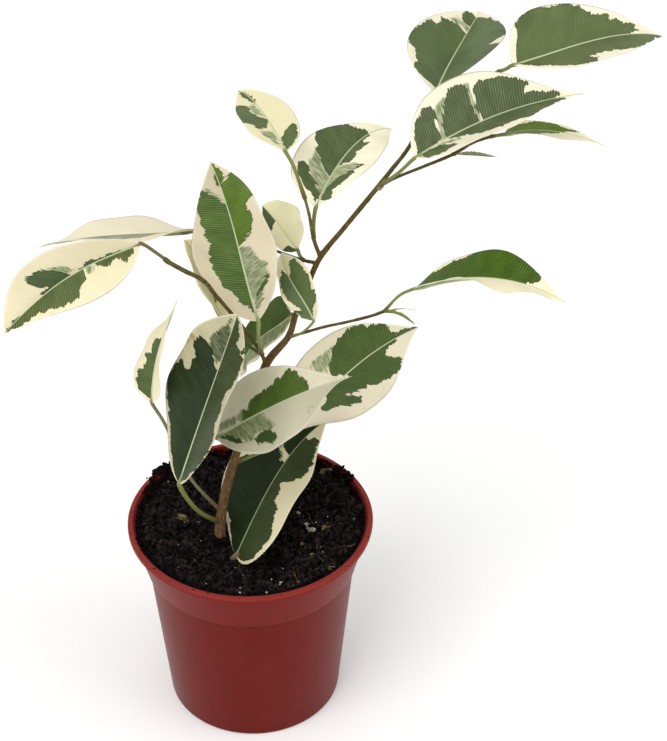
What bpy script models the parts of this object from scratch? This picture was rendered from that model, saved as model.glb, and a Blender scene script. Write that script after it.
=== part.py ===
"""Potted weeping fig cutting: a small plastic pot, its soil, the woody stem and twenty leaves.

Every piece is one closed solid. Run it with blender --background --python part.py.
The tables are in millimetres and the meshes in metres. +Z is up, the plant is seen from -Y, and the
origin is the centre of the pot's base.
"""

import math
from dataclasses import dataclass
from functools import cache

import bmesh
import bpy
import numpy as np

MM = 0.001
SEAT_GAP = 0.33  # clearance between two pieces that touch
MERGE = 0.00001  # metres within which a modifier joins points

# Pot: its wall as (radius, height) from the middle of the inner floor, over the lip, to the base's centre
POT_STEPS = 56
POT_PROFILE = (
    (0, 1.6),
    (21.4, 1.6),
    (22.2, 2.6),
    (26.2, 43.5),
    (26.7, 44.5),
    (29.5, 54.6),
    (30.2, 56.6),
    (30.6, 57.3),
    (31.2, 57.5),
    (31.8, 57.4),
    (32.2, 56.8),
    (32.2, 55.8),
    (31.9, 55.2),
    (30.7, 54.8),
    (27.9, 44.3),
    (27.4, 43.9),
    (23.2, 0.9),
    (22.4, 0),
    (0, 0),
)
DRAIN_HOLES = 4
DRAIN_HOLE_RADIUS = 2.5
DRAIN_HOLE_CIRCLE = 13
DRAIN_HOLE_CUT = (-1, 3)  # bottom and top of the cut through the floor
HOLE_SIDES = 16

# Soil: radii of the rings of its surface, then the wall that follows the pot's inside
SOIL_SURFACE = 53
SOIL_RINGS = (0, 4, 8, 12, 16, 20, 23.5, 26.5, 28.6)
SOIL_WALL = (
    (26.2, 44.4),
    (25.8, 43.3),
    (21.9, 2.7),
    (21.1, 1.9),
    (0, 1.9),
)
TRUNK_HOLE_CENTRE = (-8, -4)
TRUNK_HOLE_RADIUS = 2
TRUNK_HOLE_CUT = (40.6, 57)

# Stem: (x, y, z, radius) along the trunk and along each twig or bud that grows out of it
STEM_STEPS = 2
STEM_CREASE = 35  # degrees between faces from which an edge looks sharp
STEM_PATHS = {
    "trunk": (
        (-8, -4, 41, 1.55),
        (-8, -4, 53.5, 1.5),
        (-6.5, -3, 65.5, 1.4),
        (-3, -2, 79, 1.3),
        (1, -1, 92.5, 1.2),
        (5, 0, 106.5, 1.15),
        (10.5, 2, 113.5, 1.05),
        (12.5, 5.5, 118, 1),
        (15, 7.5, 124, 0.95),
        (18.5, 8, 133, 0.95),
        (24.5, 8.5, 141.5, 0.85),
        (31, 9, 150.5, 0.85),
        (35.5, 10, 156.5, 0.75),
        (39.5, 12.5, 161, 0.7),
        (43, 16, 166.5, 0.65),
        (47, 17.5, 170.5, 0.6),
        (53, 20.5, 174, 0.55),
        (60.5, 21.5, 176.5, 0.5),
    ),
    "left_twig": (
        (5, 0, 106.5, 0.6),
        (4, -1.5, 111.5, 0.55),
        (2.5, -2.5, 115, 0.55),
        (0, -4.5, 121, 0.5),
        (-2.5, -6, 126, 0.5),
        (-6, -6.5, 131.5, 0.5),
        (-9, -6.5, 136, 0.5),
        (-13.5, -6, 138.5, 0.45),
        (-17, -5.5, 140.5, 0.45),
    ),
    "right_twig": (
        (10.5, 2, 113.5, 0.6),
        (13.5, 0, 116, 0.5),
        (19.5, -2, 119.5, 0.45),
        (24.5, -3, 121.5, 0.45),
        (30.5, -4, 124, 0.45),
        (34, -4, 125.5, 0.5),
    ),
    "back_twig": (
        (18, 8, 131.5, 0.5),
        (14.5, 10, 131, 0.45),
        (9.5, 13, 131, 0.4),
        (3.5, 15, 132.5, 0.4),
        (-2, 16, 134, 0.4),
    ),
    "top_twig": (
        (18.5, 8, 133.5, 0.55),
        (17, 8, 138.5, 0.5),
        (16, 7.5, 145.5, 0.4),
        (15, 7, 150.5, 0.4),
    ),
    "upper_twig": (
        (33, 9.5, 152.5, 0.5),
        (36.5, 9, 155, 0.4),
        (42.5, 9.5, 157.5, 0.4),
        (50, 10.5, 160.5, 0.45),
        (55, 16, 160.5, 0.4),
        (59.5, 19, 160.5, 0.4),
    ),
    "end_bud": (
        (34, -4, 125.5, 0.55),
        (36.5, -4.5, 125.5, 0.6),
        (38.5, -5, 125, 0.5),
        (41.5, -6, 123, 0.15),
    ),
    "bud_scale": (
        (34.5, -4, 125.5, 0.4),
        (38, -4.5, 126.5, 0.35),
        (42.5, -5.5, 126, 0.15),
    ),
    "side_bud": (
        (32.5, 9, 152, 0.7),
        (33.5, 8.5, 153.5, 0.6),
        (34, 8.5, 154.5, 0.25),
    ),
}

# Leaves: blade thickness, the ridge under the midrib, the leaf stalk, and how finely they are cut
BLADE_THICKNESS = 0.7
MIDRIB_RIDGE = 0.4
STALK_RADIUS = 0.5
STALK_RING_SPACING = 5
STALK_STEPS = 40
SIDEWAYS = (0.3, 0.9, 0.2)  # any direction that no leaf stalk runs along
TINY = 0.0001  # share of the blade's length over which its direction is read
BLADE_STATIONS = (0.03, 0.08, 0.16, 0.26, 0.36, 0.46, 0.56, 0.66, 0.76, 0.85, 0.92, 0.97)
BLADE_ACROSS = (-1, -0.62, -0.16, 0, 0.16, 0.62, 1)
WAVES_PER_BLADE = 2.3
LEAF_CREASE = 50


@dataclass(frozen=True)
class Leaf:
    """One leaf: its stalk, its midrib and how the two halves of the blade lie along it.

    Pairs are (left, right) as seen on the upper side, looking from the stalk to the tip.
    """

    name: str
    colour: str  # its green and cream seen from afar
    stalk: tuple  # points from the middle of the stem towards the blade
    midrib: tuple  # points at 0, 1/3, 2/3 and all of the blade's length
    facing: tuple  # where the upper side looks at the base, the middle and the tip
    half_widths: tuple
    folds: tuple  # degrees by which each half is lifted from flat
    widest: tuple  # share of the length at which each half is widest
    taper: float  # higher values draw both ends out to a point
    waves: tuple  # (height, phase) of the wave along each margin


LEAVES = (
    Leaf(
        name="leaf_far_left",
        colour="#DDD6B4",
        stalk=((-17, -5.5, 140.5), (-19.5, -5, 142.5)),
        midrib=((-23.5, -5, 145.5), (-33.5, -8, 142.5), (-44, -10, 136.5), (-56.5, -12, 124.5)),
        facing=((0.3, -0.9, 0.2), (0, -0.9, 0.3), (-0.5, -0.7, 0.6)),
        half_widths=(8, 10.5),
        folds=(16, 36),
        widest=(0.44, 0.52),
        taper=1.7,
        waves=((0.2, 0.9), (0.5, 0.6)),
    ),
    Leaf(
        name="leaf_left_upper",
        colour="#D8D2B8",
        stalk=((-2, 16, 134), (-7, 16, 135.5)),
        midrib=((-11.5, 16, 136), (-24.5, 14, 136), (-36.5, 11, 137), (-50, 8, 136)),
        facing=((-0.2, 0.6, 0.8), (0.1, 0.2, 1), (-0.3, 0.6, 0.7)),
        half_widths=(9.5, 10),
        folds=(10, 8),
        widest=(0.4, 0.4),
        taper=1.8,
        waves=((0.1, 0.8), (0.5, 0.65)),
    ),
    Leaf(
        name="leaf_left_folded",
        colour="#DDD3A6",
        stalk=((4.5, 1.5, 108.5), (1.5, 2.5, 110)),
        midrib=((-1.5, 1, 113.5), (-7.5, 4, 122.5), (-11, 7, 131.5), (-14.5, 9, 137.5)),
        facing=((0.7, 0.3, 0.6), (0.9, -0.2, 0.4), (0.6, -0.4, 0.7)),
        half_widths=(7.5, 7),
        folds=(16, 14),
        widest=(0.44, 0.44),
        taper=1.7,
        waves=((0.4, 0.5), (0, 0.6)),
    ),
    Leaf(
        name="leaf_centre_tall",
        colour="#6F9440",
        stalk=((4, -1.5, 111.5), (3.5, -3.5, 117.5)),
        midrib=((3.5, -1.5, 121), (0, 3, 134), (-3, 8, 145), (-7.5, 13, 157)),
        facing=((0.2, -0.9, 0.3), (-0.3, -0.9, 0.3), (-0.1, -0.9, 0.3)),
        half_widths=(11, 11),
        folds=(24, 14),
        widest=(0.44, 0.46),
        taper=1.6,
        waves=((0.7, 0.1), (0.9, 0.8)),
    ),
    Leaf(
        name="leaf_centre_back",
        colour="#DAD2A0",
        stalk=((14.5, 10, 131), (13.5, 13, 130.5)),
        midrib=((13, 14.5, 131), (10.5, 18.5, 132.5), (7.5, 22, 135), (4, 26, 137)),
        facing=((-0.6, -0.5, 0.6), (-0.5, -0.7, 0.5), (-0.5, -0.6, 0.6)),
        half_widths=(4, 7),
        folds=(14, 10),
        widest=(0.44, 0.48),
        taper=1.6,
        waves=((0, 0.6), (0.8, 0.45)),
    ),
    Leaf(
        name="leaf_centre_small",
        colour="#33502A",
        stalk=((10.5, 2, 113.5), (14, -1, 117)),
        midrib=((17, -1, 120.5), (14.5, 2, 124.5), (11, 7, 128), (9, 12, 132)),
        facing=((-0.5, -0.8, 0.1), (-0.5, -0.7, 0.5), (-0.3, -0.7, 0.6)),
        half_widths=(4, 6.5),
        folds=(16, 16),
        widest=(0.42, 0.52),
        taper=1.7,
        waves=((0.6, 0.15), (0.2, 0.4)),
    ),
    Leaf(
        name="leaf_right_arching",
        colour="#8FA45C",
        stalk=((34, -4, 125.5), (37.5, -4, 130)),
        midrib=((41, -4, 132), (52.5, -4, 135), (65, -4, 134), (77.5, -4, 128)),
        facing=((-0.3, 0.5, 0.8), (0, 0.1, 1), (0.6, -0.3, 0.8)),
        half_widths=(10, 9.5),
        folds=(16, 16),
        widest=(0.48, 0.46),
        taper=1.8,
        waves=((0.4, 0.85), (1.1, 0.5)),
    ),
    Leaf(
        name="leaf_right_low",
        colour="#6E8A50",
        stalk=((-3.5, -2.5, 77.5), (2.5, -2.5, 80.5)),
        midrib=((9.5, -2, 84.5), (19, 2, 95), (30, 6, 104.5), (44.5, 9, 112.5)),
        facing=((0.6, -0.7, -0.3), (0.1, -1, 0.3), (0, -1, 0.3)),
        half_widths=(12, 12.5),
        folds=(4, -8),
        widest=(0.48, 0.52),
        taper=1.9,
        waves=((0.7, 0.05), (0.8, 0.5)),
    ),
    Leaf(
        name="leaf_front_pale",
        colour="#A9B27E",
        stalk=((-5, -3, 70.5), (-6.5, -6.5, 81.5)),
        midrib=((-7.5, -8, 90), (2.5, -10, 98.5), (13.5, -12, 106.5), (26.5, -14, 113.5)),
        facing=((-0.6, -0.4, 0.7), (-0.6, -0.6, 0.6), (-0.4, -0.1, 0.9)),
        half_widths=(10, 10.5),
        folds=(8, 0),
        widest=(0.4, 0.44),
        taper=1.9,
        waves=((0.7, 0.75), (1.1, 0.15)),
    ),
    Leaf(
        name="leaf_front_dark",
        colour="#2C4225",
        stalk=((-7.5, -3.5, 58), (-13, -11, 69)),
        midrib=((-16.5, -17, 82.5), (-10.5, -15, 101), (-5, -12.5, 117), (-1, -9.5, 128.5)),
        facing=((-0.8, -0.6, 0.3), (-0.8, -0.5, 0.3), (-0.5, -0.7, 0.5)),
        half_widths=(12.5, 12),
        folds=(20, 16),
        widest=(0.48, 0.5),
        taper=1.6,
        waves=((0.8, 0.35), (0.7, 0)),
    ),
    Leaf(
        name="leaf_left_small",
        colour="#5B7444",
        stalk=((-7, -3.5, 61.5), (-15, -5.5, 75.5), (-20, -7.5, 93.5)),
        midrib=((-23, -8, 101), (-21.5, -6, 112), (-19, -3, 119.5), (-16, 0, 126)),
        facing=((-0.6, -0.8, 0.1), (-0.9, -0.3, 0.4), (-0.8, -0.2, 0.5)),
        half_widths=(6.5, 6.5),
        folds=(12, 16),
        widest=(0.26, 0.38),
        taper=1.8,
        waves=((0.4, 0), (0.3, 0.45)),
    ),
    Leaf(
        name="leaf_on_soil",
        colour="#3F5730",
        stalk=((-8, -3.5, 55), (-6, -9.5, 54.5)),
        midrib=((-3.5, -12.5, 54.5), (2.5, -6, 65.5), (10, 5, 73), (20, 14, 78.5)),
        facing=((-0.9, -0.4, 0.4), (-0.5, -0.2, 0.9), (-0.2, -0.5, 0.9)),
        half_widths=(11, 12),
        folds=(6, 0),
        widest=(0.46, 0.34),
        taper=1.4,
        waves=((0.1, 0.2), (0.7, 0.3)),
    ),
    Leaf(
        name="leaf_centre_hidden",
        colour="#3A5230",
        stalk=((11, 3, 114.5), (10.5, 5.5, 114.5)),
        midrib=((9.5, 8, 114), (5.5, 12, 108), (0.5, 16, 100.5), (-2.5, 20, 88)),
        facing=((-0.9, -0.2, 0.4), (-0.8, -0.1, 0.5), (-0.8, -0.5, -0.1)),
        half_widths=(7.5, 9),
        folds=(8, 8),
        widest=(0.42, 0.38),
        taper=1.7,
        waves=((0.6, 0.65), (0.3, 0.65)),
    ),
    Leaf(
        name="leaf_top_small",
        colour="#9DAA78",
        stalk=((15, 7, 150.5), (12.5, 7, 159)),
        midrib=((10.5, 10, 161.5), (7.5, 18, 163), (3.5, 26, 165), (-1.5, 32, 166)),
        facing=((0.2, -0.1, 1), (0.1, -0.2, 1), (-0.1, -0.2, 1)),
        half_widths=(7.5, 6.5),
        folds=(12, 12),
        widest=(0.44, 0.4),
        taper=1.8,
        waves=((0.5, 0.2), (0.2, 0)),
    ),
    Leaf(
        name="leaf_top_centre",
        colour="#8A9A6C",
        stalk=((17, 8, 138.5), (17, 9.5, 142)),
        midrib=((17.5, 9, 146.5), (21.5, 19, 150), (28, 29, 153.5), (36.5, 37, 152.5)),
        facing=((0.1, -0.3, 0.9), (0, -0.3, 1), (0.5, -0.3, 0.8)),
        half_widths=(10.5, 9),
        folds=(18, 18),
        widest=(0.36, 0.52),
        taper=2.2,
        waves=((0.5, 0.15), (0.4, 0.65)),
    ),
    Leaf(
        name="leaf_top_back",
        colour="#6C8052",
        stalk=((46, 18, 170), (45.5, 18.5, 171)),
        midrib=((46, 19, 172), (48.5, 30, 171.5), (52.5, 41, 173), (58, 51, 177.5)),
        facing=((0, 0.1, 1), (0, -0.1, 1), (-0.1, -0.5, 0.9)),
        half_widths=(12, 13.5),
        folds=(28, 30),
        widest=(0.52, 0.64),
        taper=1.7,
        waves=((0.2, 0.6), (0.1, 0.05)),
    ),
    Leaf(
        name="leaf_top_right",
        colour="#687C4F",
        stalk=((60.5, 21.5, 176.5), (62.5, 22, 177)),
        midrib=((64, 22, 178), (76, 26, 180), (88.5, 30, 181.5), (101, 34, 179.5)),
        facing=((0, -0.3, 0.9), (0, -0.4, 0.9), (0.4, -0.4, 0.8)),
        half_widths=(12, 9.5),
        folds=(20, 22),
        widest=(0.28, 0.44),
        taper=1.9,
        waves=((0.1, 0), (0.3, 0.05)),
    ),
    Leaf(
        name="leaf_right_upper",
        colour="#6C8254",
        stalk=((32.5, 9, 152.5), (37, 4.5, 159)),
        midrib=((40.5, 2.5, 164), (52.5, 7.5, 169), (65.5, 12.5, 172), (79, 17.5, 172.5)),
        facing=((-0.2, -0.4, 0.9), (-0.1, -0.3, 0.9), (0.2, -0.4, 0.9)),
        half_widths=(12.5, 10),
        folds=(28, 28),
        widest=(0.38, 0.4),
        taper=1.9,
        waves=((0.3, 0.95), (0.5, 0.5)),
    ),
    Leaf(
        name="leaf_right_narrow",
        colour="#83A050",
        stalk=((59.5, 19, 160.5), (61, 19.5, 160.5)),
        midrib=((62.5, 20, 160.5), (71, 23, 160), (80, 26, 157), (89, 28, 152.5)),
        facing=((-0.2, 0.4, 0.9), (0.2, 0.1, 1), (0.5, -0.2, 0.8)),
        half_widths=(6.5, 7),
        folds=(2, 4),
        widest=(0.44, 0.44),
        taper=1.7,
        waves=((0.2, 0.6), (0.1, 0.65)),
    ),
    Leaf(
        name="leaf_young",
        colour="#7C8040",
        stalk=((50, 10.5, 160.5), (50.5, 10, 161)),
        midrib=((51, 9.5, 161), (53.5, 8.5, 162.5), (56.5, 7.5, 163), (59, 6.5, 162)),
        facing=((-0.6, -0.3, 0.7), (-0.2, -0.3, 0.9), (0.3, -0.4, 0.9)),
        half_widths=(1, 2),
        folds=(12, 14),
        widest=(0.42, 0.42),
        taper=1.7,
        waves=((0.3, 0), (0, 0.8)),
    ),
)


def clear_scene():
    """Remove every object that the scene starts with."""
    for item in list(bpy.data.objects):
        bpy.data.objects.remove(item, do_unlink=True)


def linear_colour(text):
    """Turn an sRGB hex colour into the linear RGBA that Blender's sockets take."""
    channels = [int(text[i : i + 2], 16) / 255 for i in (1, 3, 5)]
    linear = [c / 12.92 if c <= 0.04045 else ((c + 0.055) / 1.055) ** 2.4 for c in channels]
    return (*linear, 1.0)


def plain_material(name, colour, roughness):
    """Make one Principled material."""
    material = bpy.data.materials.new(name)
    material.use_nodes = True
    shader = material.node_tree.nodes["Principled BSDF"]
    shader.inputs["Base Color"].default_value = linear_colour(colour)
    shader.inputs["Roughness"].default_value = roughness
    material.diffuse_color = linear_colour(colour)
    return material


def add_object(collection, name, mesh, material=None):
    """Put a mesh in a collection as an object of its own."""
    if material:
        mesh.materials.append(material)
    item = bpy.data.objects.new(name, mesh)
    collection.objects.link(item)
    return item


def shade_round(mesh, angle=STEM_CREASE):
    """Shade a mesh smooth but for its sharp edges."""
    mesh.shade_smooth()
    mesh.set_sharp_from_angle(angle=math.radians(angle))


def baked_mesh(item):
    """Give an object's evaluated mesh and remove the object."""
    graph = bpy.context.evaluated_depsgraph_get()
    mesh = bpy.data.meshes.new_from_object(item.evaluated_get(graph))
    bpy.data.objects.remove(item, do_unlink=True)
    return mesh


def turned_object(collection, name, profile, steps, material=None):
    """Turn a profile of (radius, height) points about Z with a Screw modifier."""
    mesh = bpy.data.meshes.new(name)
    points = [(radius * MM, 0, height * MM) for radius, height in profile]
    edges = [(i, i + 1) for i in range(len(points) - 1)]
    mesh.from_pydata(points, edges, [])
    item = add_object(collection, name, mesh, material)
    screw = item.modifiers.new("turn", "SCREW")
    screw.axis = "Z"
    screw.angle = 2 * math.pi
    screw.steps = steps
    screw.render_steps = steps
    screw.use_merge_vertices = True
    screw.merge_threshold = MERGE
    screw.use_smooth_shade = True
    return item


def cut_hole(item, cutters, name, centre, radius, bottom, top):
    """Cut an upright round hole through an object with a Boolean modifier."""
    shape = bmesh.new()
    wide, deep = radius * MM, (top - bottom) * MM
    bmesh.ops.create_cone(shape, cap_ends=True, segments=HOLE_SIDES, radius1=wide, radius2=wide, depth=deep)
    mesh = bpy.data.meshes.new(name)
    shape.to_mesh(mesh)
    shape.free()
    cutter = add_object(cutters, name, mesh)
    cutter.location = (centre[0] * MM, centre[1] * MM, (top + bottom) / 2 * MM)
    combine(item, cutter, "DIFFERENCE")


def combine(item, helper, operation):
    """Add a Boolean modifier that uses a helper object, which isn't a piece of its own."""
    helper.display_type = "WIRE"
    helper.hide_render = True
    modifier = item.modifiers.new(helper.name, "BOOLEAN")
    modifier.operation = operation
    modifier.solver = "EXACT"
    modifier.object = helper


def build_pot(collection, cutters):
    """Build the pot: a thin tapered cup with a flared band, a rounded lip and drain holes."""
    material = plain_material("red_pot_plastic", "#8A3529", 0.45)
    pot = turned_object(collection, "pot", POT_PROFILE, POT_STEPS, material)
    for i in range(DRAIN_HOLES):
        angle = 2 * math.pi * (i + 0.5) / DRAIN_HOLES
        centre = (DRAIN_HOLE_CIRCLE * math.cos(angle), DRAIN_HOLE_CIRCLE * math.sin(angle))
        cut_hole(pot, cutters, f"drain_hole_{i + 1}", centre, DRAIN_HOLE_RADIUS, *DRAIN_HOLE_CUT)


def soil_height(x, y):
    """Give the height of the soil's uneven surface."""
    lumps = 0.34 * math.sin(0.31 * x + 1.1) * math.cos(0.27 * y - 0.4)
    crumbs = 0.18 * math.sin(0.83 * x - 0.5 * y + 0.7) + 0.13 * math.cos(0.9 * y + 0.45 * x)
    heap = 0.9 * math.exp(-((x - 9) ** 2 + (y - 15) ** 2) / 90)
    return SOIL_SURFACE + lumps + crumbs + heap


def build_soil(collection, cutters):
    """Build the soil that fills the pot, with an uneven top and a plain hole for the trunk."""
    material = plain_material("potting_soil", "#1C1714", 0.95)
    profile = [(radius, SOIL_SURFACE) for radius in SOIL_RINGS] + list(SOIL_WALL)
    mesh = baked_mesh(turned_object(collection, "soil_turned", profile, POT_STEPS))
    for vertex in mesh.vertices:
        if vertex.co.z > (SOIL_SURFACE - 1) * MM:
            vertex.co.z = soil_height(vertex.co.x / MM, vertex.co.y / MM) * MM
    soil = add_object(collection, "soil", mesh, material)
    cut_hole(soil, cutters, "trunk_hole", TRUNK_HOLE_CENTRE, TRUNK_HOLE_RADIUS, *TRUNK_HOLE_CUT)


def unit(vector):
    """Give a vector's direction as a vector of length one."""
    return np.asarray(vector, float) / np.linalg.norm(vector)


def smooth_path(points, steps):
    """Run a Catmull-Rom curve through rows of numbers, with this many steps between two of them."""
    rows = np.asarray(points, float)
    padded = np.vstack([2 * rows[0] - rows[1], rows, 2 * rows[-1] - rows[-2]])
    path = []
    for i in range(1, len(padded) - 2):
        before, start, end, after = padded[i - 1], padded[i], padded[i + 1], padded[i + 2]
        for k in range(steps):
            t = k / steps
            bend = (2 * before - 5 * start + 4 * end - after) * t**2
            turn = (3 * start - before - 3 * end + after) * t**3
            path.append(0.5 * (2 * start + (end - before) * t + bend + turn))
    path.append(rows[-1])
    return np.array(path)


def tube_mesh(collection, name, points):
    """Sweep a round section of changing radius along points, as a bevelled curve made into a mesh."""
    rows = smooth_path(points, STEM_STEPS)
    curve = bpy.data.curves.new(name, "CURVE")
    curve.dimensions = "3D"
    curve.bevel_depth = MM
    curve.bevel_resolution = 2
    curve.use_fill_caps = True
    spline = curve.splines.new("POLY")
    spline.points.add(len(rows) - 1)
    for point, (x, y, z, radius) in zip(spline.points, rows):
        point.co = (x * MM, y * MM, z * MM, 1)
        point.radius = radius
    item = bpy.data.objects.new(name, curve)
    collection.objects.link(item)
    mesh = baked_mesh(item)
    bpy.data.curves.remove(curve)
    shape = bmesh.new()
    shape.from_mesh(mesh)
    bmesh.ops.remove_doubles(shape, verts=shape.verts, dist=MERGE)
    bmesh.ops.recalc_face_normals(shape, faces=shape.faces)
    shape.to_mesh(mesh)
    shape.free()
    return mesh


def build_stem(collection, cutters):
    """Build the trunk with every twig and bud grown out of it as one solid."""
    material = plain_material("fig_bark", "#6F5A41", 0.8)
    names = list(STEM_PATHS)
    stem = add_object(collection, "stem", tube_mesh(collection, "trunk", STEM_PATHS[names[0]]), material)
    shade_round(stem.data)
    for name in names[1:]:
        branch = add_object(cutters, name, tube_mesh(collection, name, STEM_PATHS[name]), material)
        shade_round(branch.data)
        combine(stem, branch, "UNION")


@cache
def stem_core():
    """Give finely spaced (x, y, z, radius) rows along the middle of the whole stem."""
    return np.vstack([smooth_path(points, 10) for points in STEM_PATHS.values()])


def clear_of_stem(centre, direction):
    """Say whether the end of a leaf stalk, cut square at this point, stays off the whole stem."""
    rows = stem_core()
    direction = unit(direction)
    side = unit(np.cross(direction, SIDEWAYS))
    other = np.cross(direction, side)
    for angle in np.linspace(0, 2 * math.pi, HOLE_SIDES, endpoint=False):
        rim = centre + STALK_RADIUS * (math.cos(angle) * side + math.sin(angle) * other)
        if (np.linalg.norm(rows[:, :3] - rim, axis=1) - rows[:, 3]).min() < SEAT_GAP:
            return False
    return True


def midrib_point(leaf, share):
    """Give the point at a share of the blade's length, on the cubic through the four midrib points."""
    p0, p1, p2, p3 = (np.asarray(p, float) for p in leaf.midrib)
    third, two_thirds = share - 1 / 3, share - 2 / 3
    return (
        -4.5 * third * two_thirds * (share - 1) * p0
        + 13.5 * share * two_thirds * (share - 1) * p1
        - 13.5 * share * third * (share - 1) * p2
        + 4.5 * share * third * two_thirds * p3
    )


def blade_frame(leaf, share):
    """Give the midrib's point, the upper side's normal and the direction to the right margin."""
    centre = midrib_point(leaf, share)
    ahead = unit(midrib_point(leaf, share + TINY) - midrib_point(leaf, share - TINY))
    base, middle, tip = (np.asarray(v, float) for v in leaf.facing)
    facing = (
        base * (1 - share) * (1 - 2 * share)
        + middle * 4 * share * (1 - share)
        + tip * share * (2 * share - 1)
    )
    normal = unit(facing - np.dot(facing, ahead) * ahead)
    return centre, normal, np.cross(ahead, normal)


def half_width(leaf, share, side):
    """Give the width of one half of the blade at a share of its length."""
    widest = leaf.widest[side]
    rise, fall = leaf.taper * widest, leaf.taper * (1 - widest)
    peak = widest**rise * (1 - widest) ** fall
    return leaf.half_widths[side] * share**rise * (1 - share) ** fall / peak


def blade_ring(leaf, share):
    """Give the closed ring of points round the blade at a share of its length."""
    centre, normal, across = blade_frame(leaf, share)
    top, bottom = [], []
    for place in BLADE_ACROSS:
        side = 1 if place >= 0 else 0
        reach = abs(place) * half_width(leaf, share, side)
        fold = math.radians(leaf.folds[side])
        height, phase = leaf.waves[side]
        swing = math.sin(2 * math.pi * (WAVES_PER_BLADE * share + phase))
        lift = reach * math.sin(fold) + height * place**2 * swing * math.sqrt(math.sin(math.pi * share))
        middle = centre + across * math.copysign(reach * math.cos(fold), place) + normal * lift
        half = BLADE_THICKNESS / 2 / math.cos(fold)
        ridge = MIDRIB_RIDGE * (1 - share) if place == 0 else 0
        top.append(middle + normal * half)
        bottom.append(middle - normal * (half + ridge))
    return top + bottom[::-1]


def stalk_path(leaf):
    """Give the points along the leaf stalk, from just off the stem to the blade's base."""
    beyond = midrib_point(leaf, 0.1)
    path = smooth_path([*leaf.stalk, leaf.midrib[0], beyond], STALK_STEPS)[:-STALK_STEPS]
    start = 0
    while start < len(path) - 2 and not clear_of_stem(path[start], path[start + 1] - path[start]):
        start += 1
    path = path[start:]
    lengths = np.concatenate([[0], np.cumsum(np.linalg.norm(np.diff(path, axis=0), axis=1))])
    rings = max(2, round(lengths[-1] / STALK_RING_SPACING) + 1)
    places = np.linspace(0, lengths[-1], rings)
    return np.array([[np.interp(place, lengths, path[:, axis]) for axis in range(3)] for place in places])


def stalk_rings(leaf):
    """Give the rings of points along the leaf stalk, turned to match the blade's first ring."""
    path = stalk_path(leaf)
    ahead = np.gradient(np.vstack([path, midrib_point(leaf, 0.05)]), axis=0)[:-1]
    normal = blade_frame(leaf, 0)[1]
    columns = len(BLADE_ACROSS)
    rings = []
    for centre, direction in zip(path[::-1], ahead[::-1]):
        direction = unit(direction)
        normal = unit(normal - np.dot(normal, direction) * direction)
        across = np.cross(direction, normal)
        top, bottom = [], []
        for i in range(columns):
            angle = (i - (columns - 1) / 2) * math.pi / columns
            sideways = centre + across * STALK_RADIUS * math.sin(angle)
            top.append(sideways + normal * STALK_RADIUS * math.cos(angle))
            bottom.append(sideways - normal * STALK_RADIUS * math.cos(angle))
        rings.append(top + bottom[::-1])
    return rings[::-1]


def build_leaf(collection, leaf):
    """Build one leaf as a loft from its round stalk to its thin folded blade.

    Both sides of the blade are cut along the same diagonals, so it is equally thick everywhere.
    """
    material = plain_material(leaf.name + "_surface", leaf.colour, 0.45)
    columns = len(BLADE_ACROSS)
    shape = bmesh.new()
    rings = stalk_rings(leaf) + [blade_ring(leaf, share) for share in BLADE_STATIONS]
    loft = [[shape.verts.new(point * MM) for point in ring] for ring in rings]
    tip = shape.verts.new(midrib_point(leaf, 1) * MM)
    for low, high in zip(loft, loft[1:]):
        for i in range(len(low)):
            j = (i + 1) % len(low)
            if i < columns:
                shape.faces.new((low[i], low[j], high[j]))
                shape.faces.new((low[i], high[j], high[i]))
            else:
                shape.faces.new((low[i], low[j], high[i]))
                shape.faces.new((low[j], high[j], high[i]))
    for i in range(len(loft[-1])):
        shape.faces.new((loft[-1][i], loft[-1][(i + 1) % len(loft[-1])], tip))
    shape.faces.new(loft[0])
    bmesh.ops.recalc_face_normals(shape, faces=shape.faces)
    mesh = bpy.data.meshes.new(leaf.name)
    shape.to_mesh(mesh)
    shape.free()
    shade_round(mesh, LEAF_CREASE)
    add_object(collection, leaf.name, mesh, material)


def main():
    """Build the whole plant in its own collection, with its cutters in another."""
    clear_scene()
    collection = bpy.data.collections.new("potted_weeping_fig")
    cutters = bpy.data.collections.new("cutters")
    bpy.context.scene.collection.children.link(collection)
    bpy.context.scene.collection.children.link(cutters)
    build_pot(collection, cutters)
    build_soil(collection, cutters)
    build_stem(collection, cutters)
    for leaf in LEAVES:
        build_leaf(collection, leaf)


if __name__ == "__main__":
    main()
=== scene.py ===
"""Looks of a potted variegated weeping fig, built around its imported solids.

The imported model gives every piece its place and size. This script stands finer meshes of the same form in
their places: the moulded pot, the loose potting soil, the grown stem and twenty leaves with their green
and cream patches. The tables are in millimetres, and the meshes in metres.
"""

import logging
import math
from collections.abc import Callable
from dataclasses import dataclass
from enum import Enum
from functools import partial

import bmesh
import bpy
import numpy as np
from mathutils import Euler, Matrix, Vector, kdtree, noise

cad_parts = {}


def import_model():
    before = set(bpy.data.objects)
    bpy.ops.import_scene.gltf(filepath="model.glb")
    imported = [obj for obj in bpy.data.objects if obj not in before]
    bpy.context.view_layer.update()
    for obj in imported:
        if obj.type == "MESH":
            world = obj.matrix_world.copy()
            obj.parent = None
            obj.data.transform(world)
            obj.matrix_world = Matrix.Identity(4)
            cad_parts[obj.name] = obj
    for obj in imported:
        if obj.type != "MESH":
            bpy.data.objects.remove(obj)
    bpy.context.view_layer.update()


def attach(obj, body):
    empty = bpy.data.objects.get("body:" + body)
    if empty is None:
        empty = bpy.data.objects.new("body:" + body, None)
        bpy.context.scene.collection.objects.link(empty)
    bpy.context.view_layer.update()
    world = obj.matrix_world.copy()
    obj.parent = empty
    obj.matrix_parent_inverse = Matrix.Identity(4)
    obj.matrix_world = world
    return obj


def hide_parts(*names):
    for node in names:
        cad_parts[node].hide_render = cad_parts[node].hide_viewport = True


LOG = logging.getLogger("weeping_fig")
BODY = "root"
MM = 0.001

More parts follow.
